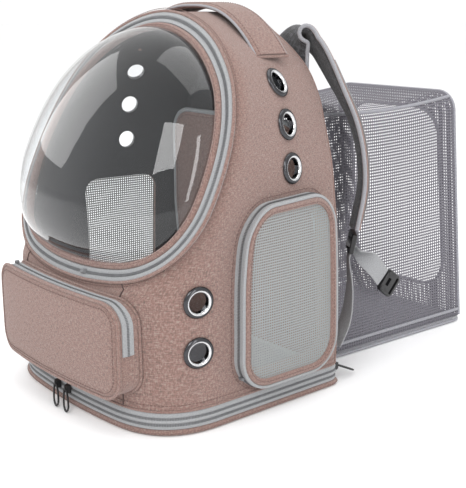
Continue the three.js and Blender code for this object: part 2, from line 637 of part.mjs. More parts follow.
const leaned = [1, 0, 0, 0, 0, 1, 0, 0, 0, -tentLean / tentHeight, 1, 0, 0, 0, 0, 1];
const endShape = (inset, low) => roundedBox(-tentHalfEnd + inset, low, tentHalfEnd - inset, tentHeight - inset, tentCorner - inset / 2, 4);
const doorway = roundedBox(-tentHalfEnd + doorMargin, doorSill, tentHalfEnd - doorMargin, tentHeight - doorMargin, tentCorner + 14, 4);
add("tent_end", alongY(endShape(bindingRadius * 2 + gap, -40), tentWall, tentEnd - tentWall)
  .subtract(alongY(doorway, 20, tentEnd - 10))
  .intersect(slab(-wide, wide, 0, tentEnd + 10, wallLow, tentHeight))
  .transform(leaned), netting);
const hoop = alongY(endShape(0, -40), bindingRadius * 2, tentEnd - tentWall)
  .subtract(alongY(endShape(bindingRadius * 2, -60), 40, tentEnd - 20))
  .intersect(slab(-wide, wide, 0, tentEnd + 20, wallLow, tentHeight + 5))
  .transform(leaned);
add("tent_hoop", hoop, grey);
const floorShape = new THREE.Shape([
  new THREE.Vector2(-tentHalfRear - 1, tentStart),
  new THREE.Vector2(tentHalfRear + 1, tentStart),
  new THREE.Vector2(tentHalfEnd + 2, tentEnd + 3 - tentCorner * 0.5),
  new THREE.Vector2(tentHalfEnd + 2 - tentCorner * 0.25, tentEnd + 3 - tentCorner * 0.12),
  new THREE.Vector2(tentHalfEnd + 2 - tentCorner * 0.6, tentEnd + 5),
  new THREE.Vector2(-tentHalfEnd - 2 + tentCorner * 0.6, tentEnd + 5),
  new THREE.Vector2(-tentHalfEnd - 2 + tentCorner * 0.25, tentEnd + 3 - tentCorner * 0.12),
  new THREE.Vector2(-tentHalfEnd - 2, tentEnd + 3 - tentCorner * 0.5),
]);
add("tent_floor", extruded(floorShape, tentFloor), grey);

// Door flap: the padded rose panel that closes the bag's back, standing inside it and leaning in at the top.
const flap = { half: 138, height: 296, thick: 4, foot: halfDepth - bodyWall - 6, leanIn: 26, bind: 4 };
const flapBottom = padBottom + padThickness + gap - 0.95;
const flapRings = (inset, thick) => {
  const shape = roundedBox(-flap.half + inset, flapBottom + inset * 0.2, flap.half - inset, flapBottom + flap.height - inset, 34 - inset, 4).getPoints().slice(0, 20);
  const lay = (p, push) => {
    const share = (p.y - flapBottom) / flap.height;
    const pull = 1 - 0.13 * Math.max(0, share - 0.55) / 0.45;
    return v(p.x * pull, flap.foot - flap.leanIn * share ** 1.5 + push, p.y);
  };
  return [shape.map((p) => lay(p, thick / 2)), shape.map((p) => lay(p, -thick / 2))].map((ring) => ring);
};
const flapBody = loft(flapRings(flap.bind + gap, flap.thick));
const flapEdge = loft(flapRings(0, flap.thick + 2)).subtract(loft(flapRings(flap.bind, flap.thick + 20)));
add("door_flap", flapBody, rose);
add("door_binding", flapEdge, tape);

// Zip sliders with wire pulls: two at the front of the base, one at its rear corner, and one each on
// the front pocket and the bubble.
function pullAt(centre, out, side, drop) {
  const outward = out.clone().normalize();
  const body = plate(8, 10, 5, centre.clone().addScaledVector(outward, 3.4), side, outward.clone().cross(side).normalize());
  const loopTop = centre.clone().addScaledVector(outward, 6);
  const points = [
    loopTop.clone().addScaledVector(side, -2.5),
    loopTop.clone().addScaledVector(side, -4.5).addScaledVector(drop, 12),
    loopTop.clone().addScaledVector(side, -4).addScaledVector(drop, 25),
    loopTop.clone().addScaledVector(drop, 29),
    loopTop.clone().addScaledVector(side, 4).addScaledVector(drop, 25),
    loopTop.clone().addScaledVector(side, 4.5).addScaledVector(drop, 12),
    loopTop.clone().addScaledVector(side, 2.5),
  ];
  const facing = side.clone().cross(drop).normalize();
  const rings = points.map((p, i) => {
    const tangent = points[Math.min(points.length - 1, i + 1)].clone().sub(points[Math.max(0, i - 1)]).normalize();
    const flat = facing.clone().cross(tangent).normalize();
    return [0, 1, 2, 3, 4, 5].map((k) => {
      const a = (k * Math.PI) / 3;
      return p.clone().addScaledVector(facing, 1.1 * Math.cos(a)).addScaledVector(flat, 1.1 * Math.sin(a));
    });
  });
  return body.add(loft(rings));
}
const bandMiddle = bandLow + baseZipperHeight * 0.5;
const frontOf = (x) => frontFace(x, baseTop) - 2;
for (const [name, x] of [["base_pull_1", -22], ["base_pull_2", 0]]) {
  add(name, pullAt(v(x, frontOf(x) + 0.6, bandMiddle + 3), v(0, -1, 0), v(1, 0, 0), v(0.65, -0.38, -0.56).normalize()), black);
}
add("rear_pull", pullAt(v(halfWidth - 14, halfDepth + 0.9, bandMiddle + 2), v(0, 1, 0), v(-1, 0, 0), v(0.1, 0.9, -0.42).normalize()), black);

export default group;
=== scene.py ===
# A pet carrier backpack in rose cloth, with a clear bubble window and a mesh tent folded out of its back.
# Sizes are in millimetres until a piece is made; the frame is in metres.
import math

import bmesh
import bpy
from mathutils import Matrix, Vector


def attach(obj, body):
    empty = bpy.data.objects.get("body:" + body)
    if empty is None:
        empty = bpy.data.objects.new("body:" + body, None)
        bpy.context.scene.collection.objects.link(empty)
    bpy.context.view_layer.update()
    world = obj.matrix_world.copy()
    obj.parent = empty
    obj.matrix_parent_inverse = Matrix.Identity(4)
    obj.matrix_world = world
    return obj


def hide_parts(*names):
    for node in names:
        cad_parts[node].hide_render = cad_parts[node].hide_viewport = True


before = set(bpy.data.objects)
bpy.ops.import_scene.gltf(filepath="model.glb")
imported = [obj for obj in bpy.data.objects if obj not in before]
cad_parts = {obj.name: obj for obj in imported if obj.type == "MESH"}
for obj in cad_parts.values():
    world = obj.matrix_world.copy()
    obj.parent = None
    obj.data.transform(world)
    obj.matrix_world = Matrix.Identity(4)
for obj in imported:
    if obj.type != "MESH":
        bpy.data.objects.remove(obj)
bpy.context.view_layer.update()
MM = 0.001

# Camera: where the photograph was taken from, a little above the bag's front right corner.
lens_azimuth, lens_elevation = math.radians(49.19), math.radians(14.03)
camera_at = Vector((902.2, -678.3, 447.0)) * MM
looking_back = Vector((
    math.sin(lens_azimuth) * math.cos(lens_elevation),
    -math.cos(lens_azimuth) * math.cos(lens_elevation),
    math.sin(lens_elevation),
))
camera = bpy.data.objects.new("camera", bpy.data.cameras.new("camera"))
bpy.context.collection.objects.link(camera)
camera.location = camera_at
camera.rotation_mode = "QUATERNION"
camera.rotation_quaternion = (-looking_back).to_track_quat("-Z", "Y")
camera.data.sensor_width = 36
camera.data.lens = 70.76
bpy.context.scene.camera = camera

# Bag body: rose heather canvas over foam, sewn from a front, two sides and a back, with a charcoal lining.
# The sections are smooth versions of the ones that the solid has.
half_width, half_depth = 162.0, 134.0
rear_height, crown_height, crown_front, sill_height = 430.0, 444.0, 8.0, 150.0
front_bow, front_set = 16.0, 4.0
body_foot = 25.6
body_top = 1.02 * rear_height
lean = math.atan2(half_depth + crown_front, crown_height - sill_height)
lean_normal = Vector((0, -math.cos(lean), math.sin(lean)))
# height, front half width, rear half width, back, front rounding, rear rounding
SECTIONS = [
    (0.05, 0.98, 0.985, 1.0, 0.46, 0.12),
    (0.2, 0.99, 0.99, 1.0, 0.45, 0.12),
    (0.35, 1.0, 0.975, 1.0, 0.42, 0.11),
    (0.44, 1.035, 0.955, 1.0, 0.34, 0.1),
    (0.53, 1.1, 0.92, 1.0, 0.24, 0.09),
    (0.63, 1.125, 0.875, 1.0, 0.18, 0.08),
    (0.72, 1.095, 0.8, 1.0, 0.16, 0.07),
    (0.8, 1.035, 0.725, 1.0, 0.15, 0.06),
    (0.87, 0.93, 0.6, 1.0, 0.14, 0.05),
    (0.925, 0.79, 0.43, 0.99, 0.12, 0.05),
    (0.965, 0.62, 0.27, 0.97, 0.1, 0.05),
    (1.0, 0.42, 0.15, 0.9, 0.09, 0.05),
    (1.02, 0.24, 0.12, 0.55, 0.07, 0.04),
]
FRONT, REAR, BACK, FRONT_ROUND, REAR_ROUND = 1, 2, 3, 4, 5


def section_share(z, column):
    """A section's value at a height, on a smooth curve through the table."""
    rows = SECTIONS
    key = min(max(z / rear_height, rows[0][0]), rows[-1][0])
    i = max(k for k in range(len(rows) - 1) if rows[k][0] <= key)
    a, b = rows[i], rows[i + 1]
    before, after = rows[max(0, i - 1)], rows[min(len(rows) - 1, i + 2)]
    span = b[0] - a[0]
    start = (b[column] - before[column]) / (b[0] - before[0]) * span
    end = (after[column] - a[column]) / (after[0] - a[0]) * span
    t = (key - a[0]) / span
    return (
        (2 * t**3 - 3 * t**2 + 1) * a[column] + (t**3 - 2 * t**2 + t) * start
        + (3 * t**2 - 2 * t**3) * b[column] + (t**3 - t**2) * end
    )


def front_face(x, z):
    """The y of the front at a place across it, before its corners round off."""
    half = section_share(z, FRONT) * half_width
    bow = front_bow * (half / half_width) ** 2
    y = -half_depth + front_set + max(0, z - sill_height) * math.tan(lean)
    return y - front_bow + bow * min(1.2, (x / half) ** 2) + (front_bow - bow) * 0.5


def rounded_corner(start, at, end, reach, steps):
    """A corner eased from one side to the next."""
    a = at + (start - at).normalized() * min(reach, (start - at).length * 0.95)
    b = at + (end - at).normalized() * min(reach, (end - at).length * 0.95)
    return [a * (1 - t) ** 2 + at * (2 * t * (1 - t)) + b * t**2
            for t in (i / steps for i in range(steps + 1))]


def body_ring(z, inset=0.0, placed=None, rear_steps=8, front_steps=16, bow_steps=16):
    """One level cross-section, drawn in by inset."""
    hf = max(2, section_share(z, FRONT) * half_width - inset)
    hr = max(2, section_share(z, REAR) * half_width - inset)
    yr = section_share(z, BACK) * half_depth - inset
    rear = Vector((hr, yr))
    front = Vector((hf, front_face(hf, z) + inset))
    reach = min(section_share(z, FRONT_ROUND) * half_width, hf * 0.8)
    near = Vector((hf - reach, front_face(hf - reach, z) + inset))
    right = rounded_corner(Vector((0, yr)), rear, front, section_share(z, REAR_ROUND) * half_width,
                           rear_steps)
    right += rounded_corner(rear, front, near, reach, front_steps)
    x_near = right[-1].x
    right += [Vector((x_near * (1 - i / bow_steps), front_face(x_near * (1 - i / bow_steps), z) + inset))
              for i in range(1, bow_steps)]
    ring = right + [Vector((0, front_face(0, z) + inset))] + [Vector((-p.x, p.y)) for p in reversed(right)]
    height = z if placed is None else placed
    return [Vector((p.x, p.y, height)) for p in ring]


def loft(name, rings, looped=False, caps=True, crease=35):
    """A surface through rings of points, with its cloth's grain laid out in millimetres."""
    n = len(rings[0])
    mesh = bpy.data.meshes.new(name)
    points = [p for ring in rings for p in ring]
    faces, grain = [], []
    spans = len(rings) if looped else len(rings) - 1
    around = [0.0]
    for k in range(n):
        around.append(around[-1] + (rings[len(rings) // 2][(k + 1) % n] - rings[len(rings) // 2][k]).length)
    lengthwise = [0.0]
    sampled = range(0, n, max(1, n // 8))
    for i in range(spans):
        a, b = rings[i], rings[(i + 1) % len(rings)]
        lengthwise.append(lengthwise[-1] + sum((b[k] - a[k]).length for k in sampled) / len(sampled))
    for i in range(spans):
        j = (i + 1) % len(rings)
        for k in range(n):
            m = (k + 1) % n
            faces.append((i * n + k, i * n + m, j * n + m, j * n + k))
            grain.append(((around[k], lengthwise[i]), (around[k + 1], lengthwise[i]),
                          (around[k + 1], lengthwise[i + 1]), (around[k], lengthwise[i + 1])))
    if caps and not looped:
        for start, turn in ((0, -1), ((len(rings) - 1) * n, 1)):
            face = [start + k for k in range(n)][::turn]
            faces.append(tuple(face))
            corners = [points[v] for v in face]
            grain.append(tuple((p.x, p.y if abs(p.y) > abs(p.z) else p.z) for p in corners))
    mesh.from_pydata([p * MM for p in points], [], faces)
    layer = mesh.uv_layers.new(name="grain")
    layer.data.foreach_set("uv", [c for face in grain for uv in face for c in uv])
    piece = bpy.data.objects.new(name, mesh)
    bpy.context.collection.objects.link(piece)
    solid = bmesh.new()
    solid.from_mesh(mesh)
    bmesh.ops.recalc_face_normals(solid, faces=solid.faces)
    solid.to_mesh(mesh)
    solid.free()
    mesh.shade_smooth()
    mesh.set_sharp_from_angle(angle=math.radians(crease))
    return piece


def wear(piece, material, slot, *nodes):
    """The piece's material, the body that it rides on, and the solids that it stands for; slot, its finish,
    is not used.
    """
    if material.name not in [m.name for m in piece.data.materials if m]:
        piece.data.materials.append(material)
    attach(piece, "root")
    if nodes:
        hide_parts(*nodes)
    return piece


def node_material(name):
    """A material with an empty principled shader, and its node tree."""
    material = bpy.data.materials.new(name)
    material.use_nodes = True
    tree = material.node_tree
    return material, tree, tree.nodes["Principled BSDF"]


def add_node(tree, kind, **values):
    """A node with its named properties or sockets set."""
    made = tree.nodes.new(kind)
    for key, value in values.items():
        if key in made.inputs:
            made.inputs[key].default_value = value
        else:
            setattr(made, key, value)
    return made


def ramp(tree, source, stops):
    """A colour ramp over a value."""
    made = add_node(tree, "ShaderNodeValToRGB")
    tree.links.new(source, made.inputs["Fac"])
    elements = made.color_ramp.elements
    while len(elements) < len(stops):
        elements.new(0.5)
    for element, (at, color) in zip(elements, stops):
        element.position = at
        element.color = (*color, 1)
    return made.outputs["Color"]


def woven(name, dark, middle, light, thread=1.1, depth=0.35, fleck=0.55):
    """Plain-woven cloth: crossed threads in relief, each thread with flecks of its own colour."""
    material, tree, shader = node_material(name)
    place = add_node(tree, "ShaderNodeUVMap", uv_map="grain")
    streaks = []
    for stretch in ((0.28 / thread, 1.5 / thread, 1), (1.5 / thread, 0.28 / thread, 1)):
        turn = add_node(tree, "ShaderNodeMapping")
        turn.inputs["Scale"].default_value = stretch
        tree.links.new(place.outputs["UV"], turn.inputs["Vector"])
        noise = add_node(tree, "ShaderNodeTexNoise", Scale=fleck, Detail=4.0, Roughness=0.7)
        tree.links.new(turn.outputs["Vector"], noise.inputs["Vector"])
        streaks.append(noise.outputs["Fac"])
    both = add_node(tree, "ShaderNodeMath", operation="ADD")
    tree.links.new(streaks[0], both.inputs[0])
    tree.links.new(streaks[1], both.inputs[1])
    half = add_node(tree, "ShaderNodeMath", operation="MULTIPLY")
    half.inputs[1].default_value = 0.5
    tree.links.new(both.outputs[0], half.inputs[0])
    color = ramp(tree, half.outputs[0], [(0.41, dark), (0.5, middle), (0.585, light)])
    tree.links.new(color, shader.inputs["Base Color"])
    weave = add_node(tree, "ShaderNodeTexBrick", Scale=1.0)
    weave.inputs["Mortar Size"].default_value = 0.16 * thread
    weave.inputs["Mortar Smooth"].default_value = 1.0
    weave.inputs["Brick Width"].default_value = 1.6 * thread
    weave.inputs["Row Height"].default_value = 0.8 * thread
    weave.inputs["Color1"].default_value = (1, 1, 1, 1)
    weave.inputs["Color2"].default_value = (0.75, 0.75, 0.75, 1)
    weave.inputs["Mortar"].default_value = (0, 0, 0, 1)
    tree.links.new(place.outputs["UV"], weave.inputs["Vector"])
    bump = add_node(tree, "ShaderNodeBump", Strength=0.8, Distance=depth * MM)
    tree.links.new(weave.outputs["Color"], bump.inputs["Height"])
    tree.links.new(bump.outputs["Normal"], shader.inputs["Normal"])
    shader.inputs["Roughness"].default_value = 0.92
    shader.inputs["Specular IOR Level"].default_value = 0.2
    shader.inputs["Sheen Weight"].default_value = 0.25
    shader.inputs["Sheen Roughness"].default_value = 0.6
    return material


rose = woven("rose_canvas", (0.14, 0.108, 0.092), (0.27, 0.143, 0.12), (0.335, 0.27, 0.235), fleck=0.9)
charcoal = woven("charcoal_lining", (0.022, 0.024, 0.03), (0.03, 0.033, 0.04), (0.045, 0.048, 0.058),
                 thread=0.7)

wall = 3.0
levels = 84
body_heights = [body_foot + (body_top - body_foot) * (1 - (1 - i / levels) ** 1.35)
                for i in range(levels + 1)]
body = loft("bag_body", [body_ring(z) for z in body_heights], caps=False)
lid = bmesh.new()
lid.from_mesh(body.data)
lid.verts.ensure_lookup_table()
ring_size = len(body_ring(body_top))
crown = [v for v in lid.verts][-ring_size:]
centre = lid.verts.new(sum((v.co for v in crown), Vector()) / ring_size)
for k in range(ring_size):
    lid.faces.new((crown[k], crown[(k + 1) % ring_size], centre))
bmesh.ops.recalc_face_normals(lid, faces=lid.faces)
lid.to_mesh(body.data)
lid.free()
body.data.shade_smooth()


def outline_of_window():
    """The bubble's outline up the leaning front, as a smooth closed curve: x across, s up the lean."""
    shares = [(0.0, 0.0), (0.006, 0.26), (0.03, 0.54), (0.08, 0.74), (0.16, 0.89), (0.27, 0.98), (0.4, 1.0),
              (0.54, 0.975), (0.66, 0.91), (0.77, 0.8), (0.87, 0.625), (0.94, 0.43), (0.985, 0.21),
              (1.0, 0.0)]
    foot, half = 7.0, 178.0
    rise = (crown_height - sill_height) / math.cos(lean) - foot - 7
    right = [Vector((w * half, foot + s * rise)) for s, w in shares]
    points = right + [Vector((-p.x, p.y)) for p in reversed(right[1:-1])]
    n = len(points)
    dense = []
    for i in range(n):
        a, b, c, d = (points[(i + k) % n] for k in (-1, 0, 1, 2))
        for step in range(12):
            t = step / 12
            dense.append(0.5 * (2 * b + (c - a) * t + (2 * a - 5 * b + 4 * c - d) * t**2
                                + (3 * b - a - 3 * c + d) * t**3))
    return evenly(dense, 200), Vector((0, foot + 0.46 * rise))


def evenly(points, count, closed=True):
    """The same curve with its points at equal distances."""
    line = points + points[:1] if closed else list(points)
    run = [0.0]
    for a, b in zip(line, line[1:]):
        run.append(run[-1] + (b - a).length)
    made, k = [], 0
    for i in range(count):
        at = run[-1] * i / (count if closed else count - 1)
        while k < len(run) - 2 and run[k + 1] < at:
            k += 1
        t = (at - run[k]) / max(1e-9, run[k + 1] - run[k])
        made.append(line[k].lerp(line[k + 1], min(1, t)))
    return made


window_outline, window_focus = outline_of_window()


def inset_outline(distance):
    """The window's outline drawn in by a distance."""
    n = len(window_outline)
    made = []
    for i, p in enumerate(window_outline):
        way = (window_outline[(i + 1) % n] - window_outline[i - 1]).normalized()
        made.append(Vector((p.x - way.y * distance, p.y + way.x * distance)))
    return made


def on_front(x, s, out=0.0):
    """A point of the leaning front: across, up the lean, and out from it."""
    z = sill_height + s * math.cos(lean)
    return Vector((x, front_face(x, z), z)) + lean_normal * out


def side_x(y, z):
    """How far from the middle the side lies, between its rounded corners."""
    hf, hr = (section_share(z, c) * half_width for c in (FRONT, REAR))
    yf, yr = front_face(hf, z), section_share(z, BACK) * half_depth
    return hr + (hf - hr) * (yr - y) / (yr - yf)


def rounded_rectangle(u0, v0, u1, v1, radius, steps=8):
    """A rounded rectangle's points."""
    r = max(0.5, min(radius, (u1 - u0) / 2 - 0.5, (v1 - v0) / 2 - 0.5))
    made = []
    for cu, cv, start in ((u1 - r, v1 - r, 0), (u0 + r, v1 - r, 90), (u0 + r, v0 + r, 180),
                          (u1 - r, v0 + r, 270)):
        for i in range(steps + 1):
            a = math.radians(start + 90 * i / steps)
            made.append(Vector((cu + r * math.cos(a), cv + r * math.sin(a))))
    return made


side_window = {"y0": -36, "y1": 112, "z0": 33, "z1": 243, "corner": 40}


def side_outline(inset, steps=8):
    """The side window's outline, in y and z, drawn in by inset."""
    w = side_window
    return rounded_rectangle(w["y0"] + inset, w["z0"] + inset, w["y1"] - inset, w["z1"] - inset,
                             w["corner"] - inset, steps)


def ring_point(z, turn):
    """Where the side lies in a direction seen from above the middle."""
    ring = body_ring(z)
    way = Vector((math.cos(turn), math.sin(turn), 0))
    for a, b in zip(ring, ring[1:] + ring[:1]):
        off_a, off_b = way.x * a.y - way.y * a.x, way.x * b.y - way.y * b.x
        if off_a * off_b <= 0 and off_a != off_b and a.dot(way) > 0:
            return a.lerp(b, off_a / (off_a - off_b))


# Each eyelet's height and the way it lies from the middle, in degrees.
EYELETS = [(364, 20), (320, 18), (273, 17), (147, -28), (91, -28)]
washer_radius, hole_radius = 17.5, 11.6


def eyelet_seat(z, turn):
    """An eyelet's middle and the way it faces, on the right side."""
    a = math.radians(turn)
    step = washer_radius / 150
    across = ring_point(z, a + step) - ring_point(z, a - step)
    up = ring_point(z + washer_radius, a) - ring_point(z - washer_radius, a)
    return ring_point(z, a), across.cross(up).normalized()


def cut(piece, cutters):
    """Cuts the holes into the piece and takes the cutters away."""
    for cutter in cutters:
        hole = piece.modifiers.new("hole", "BOOLEAN")
        hole.operation = "DIFFERENCE"
        hole.solver = "EXACT"
        hole.object = cutter
    shaped = bpy.data.meshes.new_from_object(piece.evaluated_get(bpy.context.evaluated_depsgraph_get()))
    piece.modifiers.clear()
    piece.data = shaped
    for cutter in cutters:
        bpy.data.objects.remove(cutter)


body.data.materials.append(rose)
body.data.materials.append(charcoal)
thick = body.modifiers.new("wall", "SOLIDIFY")
thick.thickness = wall * MM
thick.offset = -1
thick.material_offset = 1
thick.use_rim = True
window_cut = loft("window_cut", [[on_front(p.x, p.y) + lean_normal * d for p in inset_outline(18)]
                                 for d in (-70, 70)])
door_cut = loft("door_cut", [[Vector((p.x, y, p.y)) for p in rounded_rectangle(-90, 31.4, 90, 314, 26)]
                             for y in (110, 170)])
side_cuts = [loft("side_cut", [[Vector((s * x, p.x, p.y)) for p in side_outline(20)] for x in (100, 230)])
             for s in (1, -1)]
hole_cuts = []
for height, turn in EYELETS:
    at, facing = eyelet_seat(height, turn)
    for s in (1, -1):
        basis = facing.to_track_quat("Z", "Y").to_matrix()
        turns = [i * math.pi / 12 for i in range(24)]
        circle = [basis @ Vector((hole_radius * math.cos(a), hole_radius * math.sin(a), 0)) for a in turns]
        rings = [[at + p + facing * d for p in circle] for d in (-14, 14)]
        hole_cuts.append(loft("eyelet_cut", [[Vector((s * p.x, p.y, p.z)) for p in ring] for ring in rings]))
cut(body, [window_cut, door_cut, *side_cuts, *hole_cuts])
body.data.shade_smooth()
body.data.set_sharp_from_angle(angle=math.radians(32))
wear(body, rose, "rose_cloth", "front_panel", "gusset_right", "gusset_left", "crown_panel", "back_panel")

# Base: a stiff board covered in the rose canvas, its edge top-stitched all round.
zip_foot, zip_height = 6.8, 18.5


def base_ring(inset, z):
    """The base's outline at a height."""
    return body_ring(body_foot, inset, z)


board = loft("base_board_cloth", [base_ring(inset, z) for inset, z in (
    (6, 0.0), (-0.5, 0.1), (-2, 0.9), (-2.9, 2.4), (-2.9, 4.2), (-2, 5.8), (-0.5, 6.5), (8, 6.5))], crease=60)
wear(board, rose, "rose_cloth", "base_board")


def boxes(name, places, size, bevel=0.0):
    """Many small blocks as one piece: places hold a middle and its three axes."""
    mesh = bpy.data.meshes.new(name)
    points, faces = [], []
    w, l, h = (d / 2 for d in size)
    taper = 1 - bevel
    for at, across, along, up in places:
        base = len(points)
        for k, (a, b) in enumerate(((-1, -1), (1, -1), (1, 1), (-1, 1))):
            points.append((at + across * a * w + along * b * l - up * h) * MM)
        for k, (a, b) in enumerate(((-1, -1), (1, -1), (1, 1), (-1, 1))):
            points.append((at + across * a * w * taper + along * b * l * taper + up * h) * MM)
        quads = ((0, 3, 2, 1), (4, 5, 6, 7), (0, 1, 5, 4), (1, 2, 6, 5), (2, 3, 7, 6), (3, 0, 4, 7))
        faces += [tuple(base + v for v in quad) for quad in quads]
    mesh.from_pydata(points, [], faces)
    made = bpy.data.objects.new(name, mesh)
    bpy.context.collection.objects.link(made)
    return made


def along_path(points, pitch, closed=True):
    """Places at a pitch along a curve, each with its direction."""
    line = points + points[:1] if closed else points
    total = sum((b - a).length for a, b in zip(line, line[1:]))
    count = max(2, round(total / pitch))
    spots = evenly(points, count, closed)
    made = []
    for i, p in enumerate(spots):
        after = spots[(i + 1) % count] if closed or i < count - 1 else p
        before = spots[i - 1] if closed or i > 0 else p
        made.append((p, (after - before).normalized()))
    return made


def plain(name, color, roughness=0.5, metal=0.0, bump=0.0, grain=220.0):
    """An even surface with a fine moulded or worn grain."""
    material, tree, shader = node_material(name)
    place = add_node(tree, "ShaderNodeTexCoord")
    noise = add_node(tree, "ShaderNodeTexNoise", Scale=grain, Detail=5.0)
    tree.links.new(place.outputs["Object"], noise.inputs["Vector"])
    darker = tuple(c * 0.82 for c in color)
    tree.links.new(ramp(tree, noise.outputs["Fac"], [(0.35, darker), (0.65, color)]),
                   shader.inputs["Base Color"])
    shader.inputs["Roughness"].default_value = roughness
    shader.inputs["Metallic"].default_value = metal
    if bump:
        relief = add_node(tree, "ShaderNodeBump", Strength=0.5, Distance=bump * MM)
        tree.links.new(noise.outputs["Fac"], relief.inputs["Height"])
        tree.links.new(relief.outputs["Normal"], shader.inputs["Normal"])
    return material


thread = plain("rose_thread", (0.20, 0.125, 0.11), 0.8, bump=0.1, grain=900)


def stitches(name, points, outward, closed=True, pitch=4.2, material=thread, slot="rose_cloth"):
    """A line of top stitching: short raised threads along a curve."""
    places = []
    for p, way in along_path(points, pitch, closed):
        out = outward(p)
        out = (out - way * out.dot(way)).normalized()
        places.append((p + out * 0.35, way.cross(out), way, out))
    return wear(boxes(name, places, (0.8, 2.9, 0.7), 0.35), material, slot)


def away_from_middle(p):
    """Level and outwards from the bag's middle."""
    return Vector((p.x, p.y * 1.3, 0)).normalized()


stitches("base_board_stitches", base_ring(-2.9, 3.3), away_from_middle)

# Base zip: a light grey woven tape round the bag's foot with two coil zips let into it.
tape = woven("zip_tape", (0.25, 0.257, 0.268), (0.34, 0.347, 0.358), (0.42, 0.427, 0.436), thread=0.45,
             depth=0.15, fleck=0.8)
coil_pitch = 1.7
coil_dark = plain("zip_coil", (0.17, 0.173, 0.18), 0.45, bump=0.1)
band = loft("base_zip_tape", [base_ring(inset, zip_foot + share * zip_height) for inset, share in (
    (3, 0), (-1, 0.01), (-1.5, 0.14), (-1.0, 0.2), (-0.6, 0.235), (-0.6, 0.33), (-1.0, 0.37), (-1.9, 0.45),
    (-1.4, 0.56), (-0.7, 0.6), (-0.6, 0.7), (-1.0, 0.75), (-1.3, 0.85), (-0.4, 0.99), (3, 1.0))],
            caps=False, crease=50)
wear(band, tape, "zip_tape", "base_zipper")
for index, share in enumerate((0.285, 0.65)):
    line = base_ring(-0.9, zip_foot + share * zip_height)
    places = [(p, Vector((0, 0, 1)), way, way.cross(Vector((0, 0, 1))).normalized())
              for p, way in along_path(line, coil_pitch)]
    coil = boxes(f"base_zip_coil_{index + 1}", places, (3.0, 1.0, 1.2), 0.3)
    wear(coil, coil_dark, "zip_tape")

# Seams of the body: a rolled hem over the zip, the piped edge of the back, and the side seams by the pocket.


def tube(name, points, radius, closed=False, sides=10, flat=1.0):
    """A round cord or piping along a curve."""
    rings = []
    n = len(points)
    side = None
    for i, p in enumerate(points):
        after = points[(i + 1) % n] if closed or i < n - 1 else p
        before = points[i - 1] if closed or i > 0 else p
        way = (after - before).normalized()
        guess = side if side is not None else Vector((0.123, 0.456, 0.88))
        side = (guess - way * guess.dot(way)).normalized()
        other = way.cross(side)
        rings.append([p + side * radius * math.cos(a) + other * radius * flat * math.sin(a)
                      for a in (2 * math.pi * k / sides for k in range(sides))])
    return loft(name, rings, looped=closed, crease=60)


hem = tube("body_foot_hem", base_ring(-0.4, body_foot + 1.2), 1.5, closed=True)
wear(hem, rose, "rose_cloth")
stitches("body_foot_stitches", body_ring(body_foot + 8, -0.1), away_from_middle)


def rear_edge(z, side, out=0.0):
    """The body's rear corner at a height."""
    hr = section_share(z, REAR) * half_width
    r = section_share(z, REAR_ROUND) * half_width * 0.25
    return Vector((side * (hr - r + out), section_share(z, BACK) * half_depth - r + out, z))


seam_thread = plain("seam_thread", (0.085, 0.055, 0.05), 0.85, bump=0.1, grain=900)
arch = [rear_edge(body_foot + (424 - body_foot) * i / 90, 1) for i in range(91)]
arch = arch + [Vector((-p.x, p.y, p.z)) for p in reversed(arch)]
wear(tube("rear_arch_piping", evenly(arch, 260, False), 2.1), rose, "rose_cloth")
for side, word in ((1, "right"), (-1, "left")):
    seam = []
    for i in range(40):
        z = body_foot + 3 + (178 - body_foot) * i / 39
        ring = body_ring(z, -0.15)
        x = 101 - 4 * i / 39
        seam.append(min((p for p in ring if p.y < -60 and p.x * side > 0), key=lambda p: abs(p.x * side - x)))
    seam = [Vector((s.x, s.y, s.z)) for s in seam]
    wear(tube(f"front_seam_{word}", seam, 0.8, sides=6), seam_thread, "rose_cloth")

# Bubble window: a clear acrylic dome clamped in rose piping, with a coil zip round it that opens the front.
clear, clear_tree, clear_shader = node_material("clear_acrylic")
clear_tree.nodes.remove(clear_shader)
see_through = add_node(clear_tree, "ShaderNodeBsdfTransparent")
see_through.inputs["Color"].default_value = (0.965, 0.975, 0.98, 1)
gloss = add_node(clear_tree, "ShaderNodeBsdfGlossy", Roughness=0.03)
edge = add_node(clear_tree, "ShaderNodeFresnel", IOR=1.42)
facing = add_node(clear_tree, "ShaderNodeNewGeometry")
outer_only = add_node(clear_tree, "ShaderNodeMath", operation="SUBTRACT", use_clamp=True)
clear_tree.links.new(edge.outputs["Fac"], outer_only.inputs[0])
clear_tree.links.new(facing.outputs["Backfacing"], outer_only.inputs[1])
blend = add_node(clear_tree, "ShaderNodeMixShader")
stronger = add_node(clear_tree, "ShaderNodeMath", operation="MULTIPLY", use_clamp=True)
stronger.inputs[1].default_value = 1.9
clear_tree.links.new(outer_only.outputs[0], stronger.inputs[0])
clear_tree.links.new(stronger.outputs[0], blend.inputs["Fac"])
clear_tree.links.new(see_through.outputs["BSDF"], blend.inputs[1])
clear_tree.links.new(gloss.outputs["BSDF"], blend.inputs[2])
clear_tree.links.new(blend.outputs["Shader"], clear_tree.nodes["Material Output"].inputs["Surface"])

bubble_height = 61.5
rim = {"tape": 13.0, "piping": 7.0}
dome_edge = inset_outline(rim["tape"] + rim["piping"] - 0.8)


def dome_ring(reach):
    """One level of the dome: reach is 1 at its edge and 0 at its middle."""
    out = (1 - reach**2.35) ** 0.52 * bubble_height
    ring = []
    for p in dome_edge:
        q = window_focus.lerp(p, reach)
        edge_back = on_front(p.x, p.y).y - on_front(0, p.y).y
        at = on_front(0, q.y, out)
        ring.append(Vector((q.x, at.y + edge_back * reach**2, at.z)))
    return ring


